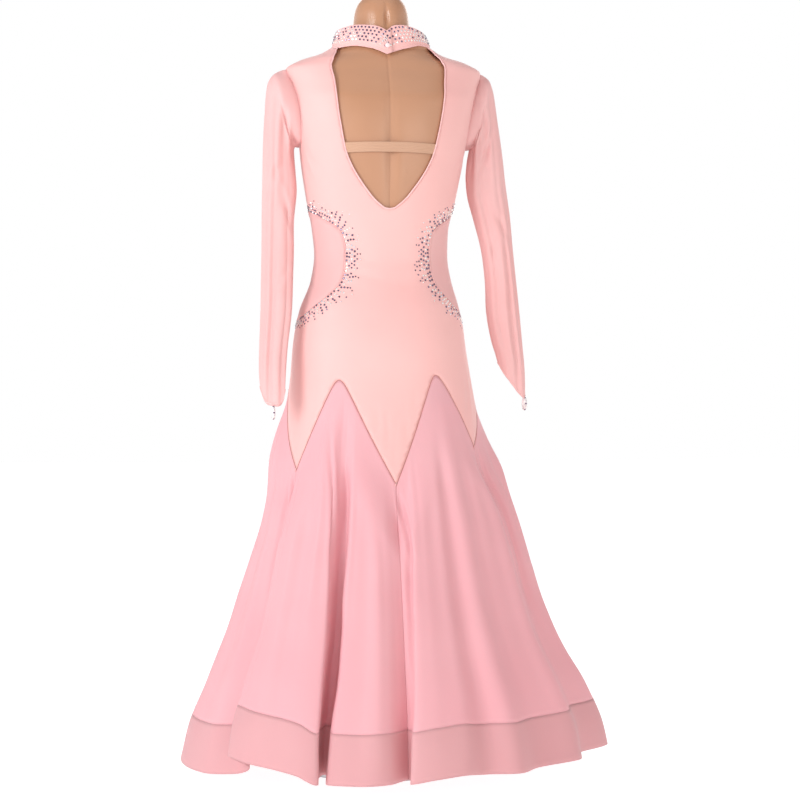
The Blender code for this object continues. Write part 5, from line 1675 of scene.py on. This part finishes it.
# The bead and the two cord loops that close the collar
face = collar_net[int((1.0 - BUTTON_PLACE) * COLLAR_FINE_ROWS), int(COLLAR_LAP / COLLAR_FINE)]
bead_profile = [(0.25 * BUTTON_RADIUS, 0.0)]
for step in np.linspace(-0.9, 1.35, 15):
    bead_profile.append((BUTTON_RADIUS * math.cos(step), BUTTON_DEPTH * (0.5 + 0.5 * math.sin(step))))
turn = full_turn(CORD_SIDES)
points = np.concatenate([np.stack([face[0] + r * np.cos(turn), 0.0 * turn + face[1] + BEAD_LIFT + z,
                                   face[2] + r * np.sin(turn)], 1) for r, z in bead_profile])
bead = dress_up(mesh_piece("collar_bead", points, ring_faces(len(bead_profile), CORD_SIDES), GLASS),
                ["collar_button"])
loops = []
loop_turn = np.linspace(0.0, 2.0 * np.pi, CORD_SIDES, endpoint=False)
along = np.array([math.cos(LOOP_TILT), 0.0, math.sin(LOOP_TILT)])
across = np.array([-math.sin(LOOP_TILT), 0.0, math.cos(LOOP_TILT)])
for centre_up, length in COLLAR_LOOPS:
    row = int((1.0 - centre_up) * COLLAR_FINE_ROWS)
    start = collar_net[row, int((COLLAR_LAP + 1.0) / COLLAR_FINE)]
    oval = (np.cos(loop_turn)[:, None] * along * length / 2.0
            + np.sin(loop_turn)[:, None] * across * LOOP_HALF_WIDTH)
    path = start + np.array(LOOP_PLACE) + oval
    loops.append(tube(path, np.tile([0.0, 1.0, 0.0], (CORD_SIDES, 1)), LOOP_CORD, closed=True))
loop = dress_up(tubes("collar_cord_loops", loops, PALE_ELASTIC))

# The form and its stand
form_shell(COVER)
pole = lathe("stand_pole", [(POLE_RADIUS, BASE_HEIGHT + SEAM_GAP), (POLE_RADIUS, FORM_BOTTOM - SEAM_GAP)],
             64, STEEL)
dress_up(pole, ["form_pole"])
base_profile = [(BASE_RADIUS, 0.0), (BASE_RADIUS, BASE_HEIGHT - BASE_BEVEL)]
for step in np.linspace(0.2, math.pi / 2, 6):
    base_profile.append((BASE_RADIUS - BASE_BEVEL * (1 - math.cos(step)),
                         BASE_HEIGHT - BASE_BEVEL * (1 - math.sin(step))))
dress_up(lathe("stand_base", base_profile, 128, STEEL), ["form_base"])

# Floor, soft light and camera
bpy.ops.mesh.primitive_plane_add(size=40.0, location=(0.0, 0.0, 0.0))
floor = bpy.context.object
floor.name = "floor"
floor.data.materials.append(FLOOR)

TARGET = Vector((AXIS_X - 0.0345, AXIS_Y + 0.0061, 0.680))
VIEW_TURN = math.radians(CAMERA_TURN)
BACKWARD = Vector((math.sin(VIEW_TURN), math.cos(VIEW_TURN), 0.0))
SIDEWAYS = Vector((-BACKWARD.y, BACKWARD.x, 0.0))
camera = bpy.data.objects.new("camera", bpy.data.cameras.new("camera"))
link(camera)
camera.location = TARGET + BACKWARD * CAMERA_AWAY
camera.rotation_mode = "QUATERNION"
camera.rotation_quaternion = (-BACKWARD).to_track_quat("-Z", "Y")
camera.data.sensor_width = SENSOR
camera.data.lens = SENSOR * CAMERA_AWAY / (PIXEL * PHOTO_WIDTH)
camera.data.clip_end = 60.0
bpy.context.scene.camera = camera


# Soft lights: name, metres back, to the side and up from the target, size, power and colour
LIGHTS = (
    ("key light", 2.5, -2.8, 1.0, (1.6, 2.2), 90.0, (0.94, 0.975, 1.0)),
    ("fill light", 3.2, 2.3, 0.4, (2.4, 2.6), 25.0, (1.0, 0.90, 0.81)),
    ("top light", 0.6, 0.2, 3.0, (3.0, 3.0), 14.0, (1.0, 1.0, 1.0)),
    ("far light", -3.2, 0.4, 1.2, (3.0, 2.4), 30.0, (1.0, 0.98, 0.96)),
)
for name, back_by, side_by, rise, size, power, colour in LIGHTS:
    lamp = bpy.data.lights.new(name, "AREA")
    lamp.shape = "RECTANGLE"
    lamp.size, lamp.size_y = size
    lamp.energy = power
    lamp.color = colour
    light = link(bpy.data.objects.new(name, lamp))
    light.location = TARGET + BACKWARD * back_by + SIDEWAYS * side_by + Vector((0.0, 0.0, rise))
    light.rotation_mode = "QUATERNION"
    light.rotation_quaternion = (light.location - TARGET).to_track_quat("Z", "Y")

world = bpy.data.worlds.new("studio")
world.use_nodes = True
sky, join = world.node_tree.nodes, world.node_tree.links
background = sky["Background"]
background.inputs["Strength"].default_value = 1.0
place = sky.new("ShaderNodeTexCoord")
split = sky.new("ShaderNodeSeparateXYZ")
join.new(place.outputs["Generated"], split.inputs["Vector"])
up = sky.new("ShaderNodeMath")
up.operation = "ABSOLUTE"
join.new(split.outputs["Z"], up.inputs[0])
fade = sky.new("ShaderNodeValToRGB")
set_stops(fade, (0.26, (1.0, 1.0, 1.0)), (0.50, (0.34, 0.34, 0.35)))
join.new(up.outputs["Value"], fade.inputs["Fac"])
join.new(fade.outputs["Color"], background.inputs["Color"])
bpy.context.scene.world = world
bpy.context.scene.view_settings.view_transform = "Standard"
